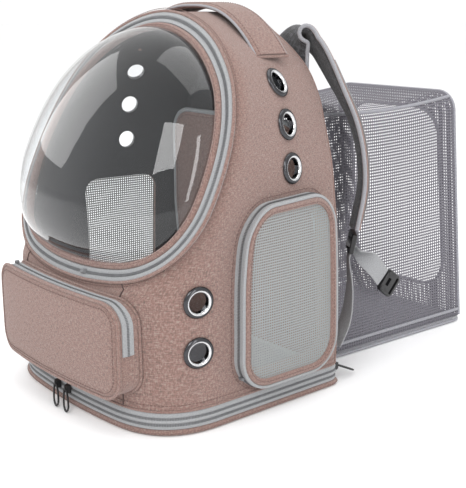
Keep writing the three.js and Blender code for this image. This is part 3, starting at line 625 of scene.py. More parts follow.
reaches = [math.cos(math.pi / 2 * k / 26) ** 0.8 for k in range(26)]
foot = [p - lean_normal * 5 for p in dome_ring(1.0)]
dome = loft("bubble_dome_acrylic", [foot] + [dome_ring(r) for r in reaches] + [dome_ring(0.03)], caps=False)
cap = bmesh.new()
cap.from_mesh(dome.data)
cap.verts.ensure_lookup_table()
cap.faces.new(cap.verts[-len(dome_edge):])
bmesh.ops.recalc_face_normals(cap, faces=cap.faces)
cap.to_mesh(dome.data)
cap.free()
dome.data.shade_smooth()
dome_wall = dome.modifiers.new("wall", "SOLIDIFY")
dome_wall.thickness = 2.2 * MM
dome_wall.offset = -1
wear(dome, clear, "clear_acrylic", "bubble_dome")


def rim_ring(profile):
    """A strip round the window from its profile of (inset, out) places."""
    insets = {d: inset_outline(d) for d, _ in profile}
    return [[on_front(insets[d][i].x, insets[d][i].y, out) for d, out in profile]
            for i in range(len(window_outline))]


piping = loft("bubble_piping", rim_ring([(13.2, -2), (13.2, 3.2), (14.2, 4.8), (16.4, 5.6), (18.8, 5.0),
                                         (20.2, 3.2), (20.2, -2)]),
              looped=True, caps=False, crease=60)
wear(piping, rose, "rose_cloth", "bubble_frame")
tape_ring = loft("bubble_zip_tape", rim_ring([
    (0, -3), (0, 1.6), (0.8, 2.4), (3.8, 2.7), (4.5, 2.0),
    (8.5, 2.0), (9.2, 2.7), (12.2, 2.7), (13.0, 1.6), (13.0, -3)]),
    looped=True, caps=False, crease=50)
wear(tape_ring, tape, "zip_tape", "bubble_zipper")
middle = [on_front(p.x, p.y, 2.6) for p in inset_outline(6.5)]
coil_places = [(p, way.cross(lean_normal).normalized(), way, lean_normal)
               for p, way in along_path(middle, coil_pitch)]
wear(boxes("bubble_zip_coil", coil_places, (3.4, 1.0, 1.3), 0.3), coil_dark, "zip_tape")
outer_roll = [on_front(p.x, p.y, 1.4) for p in inset_outline(-1.3)]
wear(tube("bubble_outer_roll", outer_roll, 1.9, closed=True), rose, "rose_cloth")
stitches("bubble_piping_stitches", [on_front(p.x, p.y, 5.3) for p in inset_outline(16.4)],
         lambda p: lean_normal)
stitches("bubble_edge_stitches", [on_front(p.x, p.y, 0.4) for p in inset_outline(-5.5)],
         lambda p: lean_normal)

# Side windows: a coarse woven net stretched in a rose rim, raised on a gusset with a coil zip.


def side_point(p, raised, side):
    """A place of the side window: p in y and z, raised out from the body's side."""
    return Vector((side * (side_x(p.x, p.y) + raised), p.x, p.y))


def side_line(inset, raised, side):
    """The side window's outline drawn in by inset and raised out from the body."""
    return [side_point(p, raised, side) for p in evenly(side_outline(inset, 12), 150)]


def net(name, place, columns, rows, bar, keep=None, diamond=False):
    """A net of square or diamond holes on a surface given by place(u, v)."""
    points, faces = [], []
    for j in range(rows + 1):
        for i in range(columns + 1):
            points.append(place(i / columns, j / rows))
    for j in range(rows):
        for i in range(columns):
            c = [j * (columns + 1) + i, j * (columns + 1) + i + 1, (j + 1) * (columns + 1) + i + 1,
                 (j + 1) * (columns + 1) + i]
            middle = sum((points[k] for k in c), Vector()) / 4
            if keep and not keep(middle):
                continue
            at = len(points)
            if diamond:
                mids = [(points[c[k]] + points[c[(k + 1) % 4]]) / 2 for k in range(4)]
                points += [middle.lerp(m, 1 - 2 * bar) for m in mids]
                for k in range(4):
                    faces.append((c[k], c[(k + 1) % 4], at + k))
                    faces.append((c[k], at + k, at + (k - 1) % 4))
            else:
                points += [middle.lerp(points[k], 1 - 2 * bar) for k in c]
                faces += [(c[k], c[(k + 1) % 4], at + (k + 1) % 4, at + k) for k in range(4)]
    mesh = bpy.data.meshes.new(name)
    mesh.from_pydata([p * MM for p in points], [], faces)
    made = bpy.data.objects.new(name, mesh)
    bpy.context.collection.objects.link(made)
    tidy = bmesh.new()
    tidy.from_mesh(mesh)
    bmesh.ops.delete(tidy, geom=[v for v in tidy.verts if not v.link_faces], context="VERTS")
    tidy.to_mesh(mesh)
    tidy.free()
    mesh.shade_smooth()
    return made


def inside_outline(point, outline):
    """Whether a place lies inside a closed outline."""
    hit = False
    for a, b in zip(outline, outline[1:] + outline[:1]):
        if (a.y > point.y) != (b.y > point.y) and point.x < (b.x - a.x) * (point.y - a.y) / (b.y - a.y) + a.x:
            hit = not hit
    return hit


net_light = plain("window_net", (0.34, 0.35, 0.345), 0.75, bump=0.15, grain=1500)
for side, word in ((1, "right"), (-1, "left")):
    gusset_levels = ((0.0, -1.5), (0.0, 3.4), (0.5, 4.2), (0.5, 10.6), (0.0, 11.2), (0.2, 14.6),
                     (1.4, 15.4), (3.3, 15.0), (3.5, 8.0))
    rings = [side_line(inset, raised, side) for inset, raised in gusset_levels]
    wear(loft(f"side_gusset_{word}", rings, caps=False, crease=50), tape, "zip_tape", f"side_zipper_{word}")
    line = side_line(0.1, 7.4, side)
    teeth = [(p, Vector((side, 0, 0)), way, way.cross(Vector((side, 0, 0))).normalized() * -side)
             for p, way in along_path(line, coil_pitch)]
    wear(boxes(f"side_zip_coil_{word}", teeth, (3.2, 1.0, 1.4), 0.3), coil_dark, "zip_tape")
    rim_levels = ((3.7, 12.0), (3.7, 14.8), (4.6, 16.0), (7.2, 16.4), (9.8, 16.0), (11.4, 14.8), (11.4, 12.0))
    rings = [side_line(inset, raised, side) for inset, raised in rim_levels]
    wear(loft(f"side_rim_cloth_{word}", rings, caps=False, crease=60), rose, "rose_cloth", f"side_rim_{word}")
    stitches(f"side_rim_stitches_{word}", side_line(8.6, 16.3, side),
             lambda p, s=side: Vector((s, 0, 0)))
    stitches(f"side_sewing_{word}", side_line(-4.5, 0.3, side),
             lambda p, s=side: Vector((s, 0, 0)))
    w = side_window
    edge_line = side_outline(9.5)
    y0, y1, z0, z1 = w["y0"] + 9, w["y1"] - 9, w["z0"] + 9, w["z1"] - 9

    def place(u, v, s=side):
        y, z = y0 + (y1 - y0) * u, z0 + (z1 - z0) * v
        swell = 2.2 * math.sin(math.pi * u) * math.sin(math.pi * v)
        return Vector((s * (side_x(y, z) + 13.0 + swell), y, z))

    mesh_piece = net(f"side_net_{word}_weave", place, 40, 62, 0.25,
                     keep=lambda p: inside_outline(Vector((p.y, p.z)), edge_line))
    wear(mesh_piece, net_light, "netting", f"side_net_{word}")

# Front pocket: a foam-backed canvas box with piped edges, opened by a coil zip over its top and right side.
pocket = {"half": 122, "z0": 44, "z1": 148, "corner": 24, "depth": 26.0}
pocket_steps = 150


def front_y(x, z, inset):
    """The y of the front at a place, corners included."""
    ring = [p for p in body_ring(z, inset) if p.y < 0 and p.x >= -0.01]
    ring.sort(key=lambda p: p.x)
    for a, b in zip(ring, ring[1:]):
        if a.x <= abs(x) <= b.x:
            return a.y + (b.y - a.y) * (abs(x) - a.x) / max(1e-6, b.x - a.x)
    return ring[-1].y


def pocket_point(p, out):
    """A place on the pocket: p in x and z, and how far from its root to its face."""
    root, face = front_y(p.x, p.y, 0.0), front_y(p.x, p.y, -pocket["depth"])
    return Vector((p.x, root + (face - root) * out, p.y))


def pocket_outline(inset):
    """The pocket's outline in x and z."""
    h = pocket
    return evenly(rounded_rectangle(-h["half"] + inset, h["z0"] + inset, h["half"] - inset, h["z1"] - inset,
                                    h["corner"] - min(inset, 18), 10), pocket_steps)


pocket_levels = [(0.2, 0.0), (0, 0.2), (0.3, 0.5), (0, 0.8), (0.6, 0.9), (2.2, 0.97), (6, 1.0), (16, 1.03),
                 (30, 1.055), (44, 1.06)]
pocket_rings = [[pocket_point(p, out) for p in pocket_outline(inset)] for inset, out in pocket_levels]
pocket_body = loft("pocket_cloth", pocket_rings, crease=70)
# The face is closed with strips from its top to its foot, so that it keeps its bow.
face_mesh = bmesh.new()
face_mesh.from_mesh(pocket_body.data)
bmesh.ops.delete(face_mesh, geom=[f for f in face_mesh.faces if len(f.verts) > 4 and f.normal.y < 0],
                 context="FACES_ONLY")
face_mesh.verts.ensure_lookup_table()
last = face_mesh.verts[-pocket_steps:]
level = (pocket["z0"] + pocket["z1"]) * MM
facing_first = Vector((last[0].co.x, last[0].co.y, level - last[0].co.z))
opposite = min(range(pocket_steps), key=lambda k: (last[k].co - facing_first).length)
for k in range(math.ceil(opposite / 2), (opposite + pocket_steps) // 2):
    four = [last[i % pocket_steps] for i in (k, k + 1, opposite - k - 1, opposite - k)]
    corners = [v for i, v in enumerate(four) if v not in four[:i]]
    if len(corners) > 2:
        face_mesh.faces.new(corners).smooth = True
bmesh.ops.recalc_face_normals(face_mesh, faces=face_mesh.faces)
face_mesh.to_mesh(pocket_body.data)
face_mesh.free()
pocket_grain = pocket_body.data.uv_layers["grain"].data
for face in pocket_body.data.polygons:
    if abs(face.normal.y) > 0.75:
        for corner in face.loop_indices:
            at = pocket_body.data.vertices[pocket_body.data.loops[corner].vertex_index].co
            pocket_grain[corner].uv = (at.x / MM, at.z / MM)
wear(pocket_body, rose, "rose_cloth", "front_pocket")
wear(tube("pocket_face_piping", [pocket_point(p, 0.93) for p in pocket_outline(-0.6)], 2.0, closed=True),
     rose, "rose_cloth")
wear(tube("pocket_root_piping", [pocket_point(p, 0.08) for p in pocket_outline(-0.8)], 1.6, closed=True),
     rose, "rose_cloth")
stitches("pocket_face_stitches", [pocket_point(p, 1.015) for p in pocket_outline(5.5)],
         lambda p: Vector((0, -1, 0)))


def zipped(p):
    """Whether the pocket's zip runs past a place of its outline."""
    return p.x > -pocket["half"] + pocket["corner"] and p.y > (pocket["z0"] + pocket["z1"]) / 2 - 6


zip_line = [p for p in pocket_outline(-1.0) if zipped(p)]
turn_at = max(range(len(zip_line) - 1), key=lambda k: (zip_line[k + 1] - zip_line[k]).length)
if (zip_line[turn_at + 1] - zip_line[turn_at]).length > 20:
    zip_line = zip_line[turn_at + 1:] + zip_line[:turn_at + 1]
tape_rings = []
for i, p in enumerate(zip_line):
    a, b = zip_line[max(0, i - 1)], zip_line[min(len(zip_line) - 1, i + 1)]
    way = (b - a).normalized()
    outward = Vector((way.y, -way.x))
    tape_rings.append([pocket_point(p + outward * lift, share) for lift, share in (
        (-1.2, 0.34), (0.3, 0.34), (0.5, 0.46), (0.1, 0.5), (0.1, 0.6), (0.5, 0.64), (0.3, 0.77),
        (-1.2, 0.77))])
wear(loft("pocket_zip_tape", tape_rings, crease=50), tape, "zip_tape", "front_pocket_zipper")
coil_line = [pocket_point(p, 0.55) for p in zip_line]
coil_places = []
for p, way in along_path(coil_line, coil_pitch, closed=False):
    out = Vector((0, 1, 0)).cross(way).normalized()
    out = -out if out.dot(Vector((p.x, 0, p.z - 96))) < 0 else out
    coil_places.append((p + out * 0.4, Vector((0, 1, 0)), way, out))
wear(boxes("pocket_zip_coil", coil_places, (2.8, 1.0, 1.3), 0.3), coil_dark, "zip_tape")

# Eyelets: rolled rings of dark nickel, pressed through the side over a washer, for air and a lead. Their
# inner lip is a brighter copy of the metal: partly its polished rim, partly a painted highlight for the
# bright arcs on it.
nickel = plain("dark_nickel", (0.075, 0.075, 0.08), 0.2, metal=1.0, bump=0.02, grain=500)
# A bright copy of the nickel for the inner lip: partly its polished rim, partly a painted highlight.
lip_metal_and_painted_highlight = plain("polished_lip_and_painted_highlight", (0.72, 0.72, 0.73), 0.12, metal=1.0, bump=0.01, grain=500)
profile = [(11.0, -4.2), (11.0, 0.6), (11.4, 1.9), (12.3, 2.8), (13.6, 3.15), (15.2, 2.8), (16.6, 1.9),
           (17.4, 0.9),
           (17.5, 0.3), (16.0, 0.2), (12.1, 0.2), (12.1, -4.2)]
for index, (height, turn) in enumerate(EYELETS):
    at, facing = eyelet_seat(height, turn)
    basis = facing.to_track_quat("Z", "Y").to_matrix()
    for side, word in ((1, "right"), (-1, "left")):
        rings = []
        for k in range(48):
            a = 2 * math.pi * k / 48
            ring = [at + facing * 0.9 + basis @ Vector((r * math.cos(a), r * math.sin(a), h))
                    for r, h in profile]
            rings.append([Vector((side * p.x, p.y, p.z)) for p in ring])
        ring_piece = loft(f"eyelet_ring_{word}_{index + 1}", rings, looped=True, crease=60)
        ring_piece.data.materials.append(nickel)
        ring_piece.data.materials.append(lip_metal_and_painted_highlight)
        for face in ring_piece.data.polygons:
            # The inner lip's faces take the bright copy of the metal, which is partly a painted highlight.
            face.material_index = 1 if face.index % len(profile) in (1, 2, 3) else 0
        wear(ring_piece, nickel, "eyelet_nickel", f"eyelet_{word}_{index + 1}")

# Handle: a foam-filled canvas band sewn to the crown at both ends, bound in light grey along its edges.
binding = woven("grey_binding", (0.25, 0.25, 0.275), (0.34, 0.34, 0.365), (0.43, 0.43, 0.45), thread=0.5,
                depth=0.2, fleck=0.8)


def padded_band(name, rows, width, thickness, puff=0.42, sides=22):
    """A stuffed band, thin at its edges: each row has its middle and the way its width lies."""
    rings = []
    for i, (at, across) in enumerate(rows):
        way = (rows[min(len(rows) - 1, i + 1)][0] - rows[max(0, i - 1)][0]).normalized()
        side = (across - way * across.dot(way)).normalized()
        up = way.cross(side)
        ring = []
        for k in range(sides):
            a = 2 * math.pi * k / sides
            u, w = math.cos(a), math.sin(a)
            u = math.copysign(abs(u) ** 0.75, u)
            w = math.copysign(abs(w) ** puff, w) if abs(w) > 1e-6 else 0
            ring.append(at + side * u * width / 2 + up * w * thickness / 2)
        rings.append(ring)
    return loft(name, rings, crease=70)


def edge_of(rows, share, width, lift=0.0):
    """A line along a band, at a share of its half width."""
    made = []
    for i, (at, across) in enumerate(rows):
        way = (rows[min(len(rows) - 1, i + 1)][0] - rows[max(0, i - 1)][0]).normalized()
        side = (across - way * across.dot(way)).normalized()
        made.append(at + side * share * width / 2 + way.cross(side) * lift)
    return made


handle_end = Vector((112, 60, 392))
handle_rows = []
for i in range(49):
    share = -1 + i / 24
    rise = 1 - abs(share) ** 2.6
    handle_rows.append((Vector((share * handle_end.x, handle_end.y,
                                handle_end.z + rise * (446 - handle_end.z))), Vector((0, 1, 0))))
handle = padded_band("handle_band", handle_rows, 46, 7.5)
wear(handle, rose, "rose_cloth", "top_handle")
for share, word in ((-1, "front"), (1, "back")):
    wear(tube(f"handle_binding_{word}", edge_of(handle_rows, share, 45.5), 1.7, flat=0.8), binding,
         "grey_cloth")
    stitches(f"handle_stitches_{word}", edge_of(handle_rows, share * 0.8, 46, 3.1),
             lambda p: Vector((p.x * 0.6, 0, 100)).normalized(), closed=False)
for side, word in ((1, "right"), (-1, "left")):
    at = Vector((side * (handle_end.x + 1.5), handle_end.y, handle_end.z - 1))
    bar = [Vector((at.x, 60 + 24 * (k / 6 - 1), at.z)) for k in range(13)]
    wear(tube(f"handle_end_seam_{word}", bar, 1.8), rose, "rose_cloth")

# Inside the bag: a quilted grey floor pad, and the panel that closes the back, leaning in from its sewn foot.
grey = woven("grey_cloth", (0.19, 0.19, 0.21), (0.27, 0.27, 0.295), (0.35, 0.35, 0.375), thread=0.8)
pad_levels = [(9, 6.9), (5, 8.5), (4, 12), (5, 17), (8, 19.6), (14, 20.6), (60, 20.8), (110, 20.8)]
pad = loft("floor_cushion", [body_ring(body_foot, inset, z) for inset, z in pad_levels], crease=70)
wear(pad, grey, "grey_cloth", "floor_pad")
flap = {"half": 138, "foot_z": 20.15, "height": 296, "foot_y": half_depth - 9, "lean": 26}


def flap_point(p, push):
    """A place of the back panel: p in x and z, pushed out of its plane."""
    share = (p.y - flap["foot_z"]) / flap["height"]
    pull = 1 - 0.13 * max(0, share - 0.55) / 0.45
    return Vector((p.x * pull, flap["foot_y"] - flap["lean"] * max(0, share) ** 1.5 + push, p.y))


def flap_outline(inset):
    """The back panel's outline."""
    f = flap
    return evenly(rounded_rectangle(-f["half"] + inset, f["foot_z"] + inset * 0.6, f["half"] - inset,
                                    f["foot_z"] + f["height"] - inset, 34 - inset * 0.6, 8), 120)


panel_levels = [(40, 2.2), (12, 2.3), (5, 1.9), (4.2, 0), (5, -1.9), (12, -2.3), (40, -2.2)]
panel_rings = [[flap_point(p, push) for p in flap_outline(inset)] for inset, push in panel_levels]
panel = loft("back_panel_cloth", panel_rings, crease=70)
wear(panel, rose, "rose_cloth", "door_flap")
wear(tube("back_panel_binding", [flap_point(p, 0) for p in flap_outline(2.4)], 2.9, closed=True), tape,
     "zip_tape", "door_binding")
stitches("back_panel_stitches", [flap_point(p, -2.4) for p in flap_outline(9)], lambda p: Vector((0, -1, 0)))
pleat = woven("tent_binding", (0.22, 0.22, 0.25), (0.31, 0.31, 0.345), (0.4, 0.4, 0.43), thread=0.5,
              depth=0.2)

# Tent: a net of fine diamond holes on four sides, bound in grey, over a padded floor with a zip round it.
tent = {"start": 137.3, "length": 306.0, "height": 334.0, "rear": 96.0, "end": 108.0, "lean": 42.0,
        "corner": 26.0, "sag": 9.0,
        "floor": 7.0, "door": 26.0, "sill": 44.0}


def tent_half(share):
    """Half the tent's width on the way to its far end."""
    return tent["rear"] + share * (tent["end"] - tent["rear"])


def tent_y(share, z):
    """How far back a place on the tent lies."""
    return tent["start"] + share * (tent["length"] - tent["lean"] * z / tent["height"])


def tent_over(share, run, inset=0.0):
    """A place on the tent's cover: run goes up the right side, over the top and down the left."""
    half = tent_half(share) - inset
    top = tent["height"] - tent["sag"] * 4 * share * (1 - share) - inset
    r, low = tent["corner"] - inset, tent["floor"]
    upright, arc, flat = top - r - low, math.pi / 2 * r, 2 * (half - r)
    at = run * (2 * upright + 2 * arc + flat)
    if at < upright:
        x, z = half, low + at
    elif at < upright + arc:
        a = (at - upright) / r
        x, z = half - r + r * math.cos(a), top - r + r * math.sin(a)
    elif at < upright + arc + flat:
        x, z = half - r - (at - upright - arc), top
    elif at < upright + 2 * arc + flat:
        a = (at - upright - arc - flat) / r
        x, z = -half + r - r * math.sin(a), top - r + r * math.cos(a)
    else:
        x, z = -half, top - r - (at - upright - 2 * arc - flat)
    climb = min(1, max(0, (z - low) / (top - low)))
    hollow = 3.2 * math.sin(math.pi * share) * math.sin(math.pi * climb) * (1 if abs(x) > half - 1 else 0)
    return Vector((x - math.copysign(hollow, x), tent_y(share, z), z))


net_grey = plain("tent_net", (0.155, 0.148, 0.172), 0.8, bump=0.15, grain=1500)
upright = tent["height"] - tent["corner"] - tent["sag"] - tent["floor"]
roof = math.pi * tent["corner"] + 2 * (102 - tent["corner"])
whole_run = 2 * (tent["height"] - tent["corner"] - tent["floor"]) + roof
side_share = upright / whole_run
for word, low, high, rows in (("side_right", 0.0, side_share, 72), ("top", side_share, 1 - side_share, 62),
                              ("side_left", 1 - side_share, 1.0, 72)):
    cover = net(f"tent_{word}_net", lambda u, v, a=low, b=high: tent_over(u, a + (b - a) * v, 1.0), 70,
                rows, 0.16, diamond=True)
    wear(cover, net_grey, "netting", f"tent_{word}")


def end_point(x, z, out=0.0):
    """A place on the leaning far end."""
    return Vector((x, tent_y(1.0, z) + out, z))


door_line = evenly(rounded_rectangle(-tent["end"] + tent["door"], tent["sill"], tent["end"] - tent["door"],
                                     tent["height"] - tent["door"], tent["corner"] + 14, 10), 160)
end_edge = [p for p in rounded_rectangle(-tent["end"] + 4, -40, tent["end"] - 4, tent["height"] - 4,
                                         tent["corner"], 8)]
end_net = net("tent_end_net", lambda u, v: end_point(-104 + 208 * u, 7.5 + 323 * v, -1.0), 50, 78, 0.16,
              diamond=True,
              keep=lambda p: inside_outline(Vector((p.x, p.z)), end_edge)
              and not inside_outline(Vector((p.x, p.z)), door_line))
wear(end_net, net_grey, "netting", "tent_end")
wear(tube("tent_door_binding", [end_point(p.x, p.y, -1) for p in door_line], 3.0, closed=True, flat=0.6),
     pleat, "grey_cloth")
hoop_outline = rounded_rectangle(-tent["end"] + 3, -40, tent["end"] - 3, tent["height"] - 3,
                                 tent["corner"] - 3, 10)
hoop = [end_point(p.x, p.y, 2.2) for p in hoop_outline if p.y > 12]
hoop = [end_point(tent["end"] - 3, 8, 2.2)] + hoop + [end_point(-tent["end"] + 3, 8, 2.2)]
wear(tube("tent_hoop_binding", evenly(hoop, 140, False), 3.1, sides=12), pleat, "grey_cloth", "tent_hoop")
for word, run in (("right", side_share + 0.03), ("left", 1 - side_share - 0.03)):
    edge_line = [tent_over(k / 40, run, 0.2) for k in range(41)]
    wear(tube(f"tent_roof_binding_{word}", edge_line, 2.2, flat=0.7), pleat, "grey_cloth")
for word, run in (("right", 0.012), ("left", 0.988)):
    edge_line = [tent_over(k / 40, run, 0.3) for k in range(41)]
    wear(tube(f"tent_foot_binding_{word}", edge_line, 2.3, flat=0.8), pleat, "grey_cloth")
throat = [tent_over(0.004, k / 80, 0.4) for k in range(81)]
wear(tube("tent_throat_binding", throat, 2.4, flat=0.8), pleat, "grey_cloth")


def floor_ring(inset, z):
    """The tent floor's outline."""
    t = tent
    end = t["start"] + t["length"] + 4.6 - inset
    rear, far = t["rear"] + 1 - inset, t["end"] + 2 - inset
    r = 22
    far_right = rounded_corner(Vector((rear, t["start"])), Vector((far, end)), Vector((0, end)), r, 10)
    ring = [Vector((rear, t["start"] + inset))] + far_right
    return [Vector((p.x, p.y, z)) for p in ring] + [Vector((-p.x, p.y, z)) for p in reversed(ring)]


mat_levels = [(4, 0.0), (0.6, 0.3), (-0.2, 1.6), (0.4, 3.3), (0.4, 4.2), (0, 5.4), (1.2, 6.8),
              (8, 7.0), (30, 7.0)]
mat = loft("tent_floor_cloth", [floor_ring(inset, z) for inset, z in mat_levels], crease=70)
wear(mat, grey, "grey_cloth", "tent_floor")
wear(tube("tent_floor_piping", evenly(floor_ring(-0.3, 2.2), 200), 1.9, closed=True), pleat, "grey_cloth")
zip_run = evenly(floor_ring(-0.6, 5.6)[1:-1], 220, False)
teeth = [(p, Vector((0, 0, 1)), way, away_from_middle(Vector((p.x, p.y - 290, 0))))
         for p, way in along_path(zip_run, 2.2, False)]
wear(boxes("tent_floor_zip", teeth, (2.6, 1.3, 1.3), 0.3), tape, "zip_tape")

# Shoulder straps: foam wrapped in rose canvas outside and black spacer mesh inside, bound in light grey,
# with a reflective strip. Each hangs from the top of the back and ends at a plastic adjuster.


def through(places, steps):
    """Rows on the curve that the solid's strap follows, each with the way its width lies."""
    def curve(points, t):
        n = len(points)
        at = (n - 1) * t
        i = min(int(at), n - 2)
        w = at - i
        before = points[i - 1] if i > 0 else points[0] * 2 - points[1]
        after = points[i + 2] if i + 2 < n else points[-1] * 2 - points[-2]
        a, b = points[i], points[i + 1]
        d0, d1, d2 = (max(1e-4, (q - p).length) ** 0.5 for p, q in ((before, a), (a, b), (b, after)))
        start = ((a - before) / d0 - (b - before) / (d0 + d1) + (b - a) / d1) * d1
        end = ((b - a) / d1 - (after - a) / (d1 + d2) + (after - b) / d2) * d1
        return (a * (2 * w**3 - 3 * w**2 + 1) + start * (w**3 - 2 * w**2 + w)
                + b * (3 * w**2 - 2 * w**3) + end * (w**3 - w**2))
    middles = [Vector(at) for at, across in places]
    ways = [Vector(across) for at, across in places]
    return [(curve(middles, i / steps), curve(ways, i / steps)) for i in range(steps + 1)]


def mirrored(rows, side):
    """The rows on the right, or their mirror image on the left."""
    if side > 0:
        return rows
    return [(Vector((-at.x, at.y, at.z)), Vector((-across.x, across.y, across.z)) * -1)
            for at, across in rows]


def flip(p, side):
    """The point on the right, or its mirror image on the left."""
    return Vector((side * p.x, p.y, p.z))


back = half_depth
strap_places = [
    ((58, back + 5.5, 368), (1, 0, 0)), ((59, back + 9, 397), (1, -0.05, 0)),
                ((67, back + 19, 414), (0.95, -0.3, 0)),
    ((83, back + 27, 398), (0.88, -0.46, 0)), ((113, back + 34, 353), (0.82, -0.57, 0)),
    ((129, back + 52, 300), (0.75, -0.66, 0)), ((134, back + 60, 240), (0.72, -0.69, 0)),
    ((133, back + 49, 181.6), (0.74, -0.67, 0.17)),
]
strap_rows = through(strap_places, 110)
strap_sides = 26
strip_rows = slice(56, 108)
spacer = woven("spacer_mesh", (0.006, 0.006, 0.007), (0.03, 0.03, 0.034), (0.075, 0.075, 0.085), thread=1.5,
               depth=0.7, fleck=0.3)
webbing = woven("grey_webbing", (0.25, 0.255, 0.268), (0.34, 0.345, 0.358), (0.43, 0.435, 0.445),
                thread=0.7, depth=0.3, fleck=0.8)
black = plain("black_plastic", (0.014, 0.014, 0.015), 0.38, bump=0.08, grain=700)
glint = plain("reflective_strip", (0.62, 0.63, 0.64), 0.32, bump=0.05, grain=900)


def flat_band(name, rows, width, thickness):
    """Webbing: a thin flat band with square edges."""
    rings = []
    for i, (at, across) in enumerate(rows):
        way = (rows[min(len(rows) - 1, i + 1)][0] - rows[max(0, i - 1)][0]).normalized()
        side = (across - way * across.dot(way)).normalized()
        up = way.cross(side)
        w, t = width / 2, thickness / 2
        outline = ((-w, -t * 0.5), (-w + 0.5, -t), (w - 0.5, -t), (w, -t * 0.5),
                   (w, t * 0.5), (w - 0.5, t), (-w + 0.5, t), (-w, t * 0.5))
        rings.append([at + side * a + up * b for a, b in outline])
    return loft(name, rings, crease=40)


def frame_plate(name, centre, across, up, outer, bars, thickness, round_off=3.0):
    """A moulded plastic frame: a rounded plate with slots, each with its low, high and half width in bars."""
    across = across.normalized()
    up = (up - across * up.dot(across)).normalized()
    out = across.cross(up)
    w, h = outer[0] / 2, outer[1] / 2

    def layer(points, d):
        return [centre + across * p.x + up * p.y + out * d for p in points]
    rings = []
    for inset, d in ((1.0, -thickness / 2), (0, -thickness / 2 + 1.0), (0, thickness / 2 - 1.0),
                     (1.0, thickness / 2)):
        rings.append(layer(rounded_rectangle(-w + inset, -h + inset, w - inset, h - inset, round_off, 5), d))
    made = loft(name, rings, crease=40)
    holes = [loft(name + "_slot", [layer(rounded_rectangle(-half, low, half, high, 1.2, 3), d)
                                   for d in (-thickness, thickness)])
             for low, high, half in bars]
    cut(made, holes)
    made.data.shade_smooth()
    made.data.set_sharp_from_angle(angle=math.radians(40))
    return made


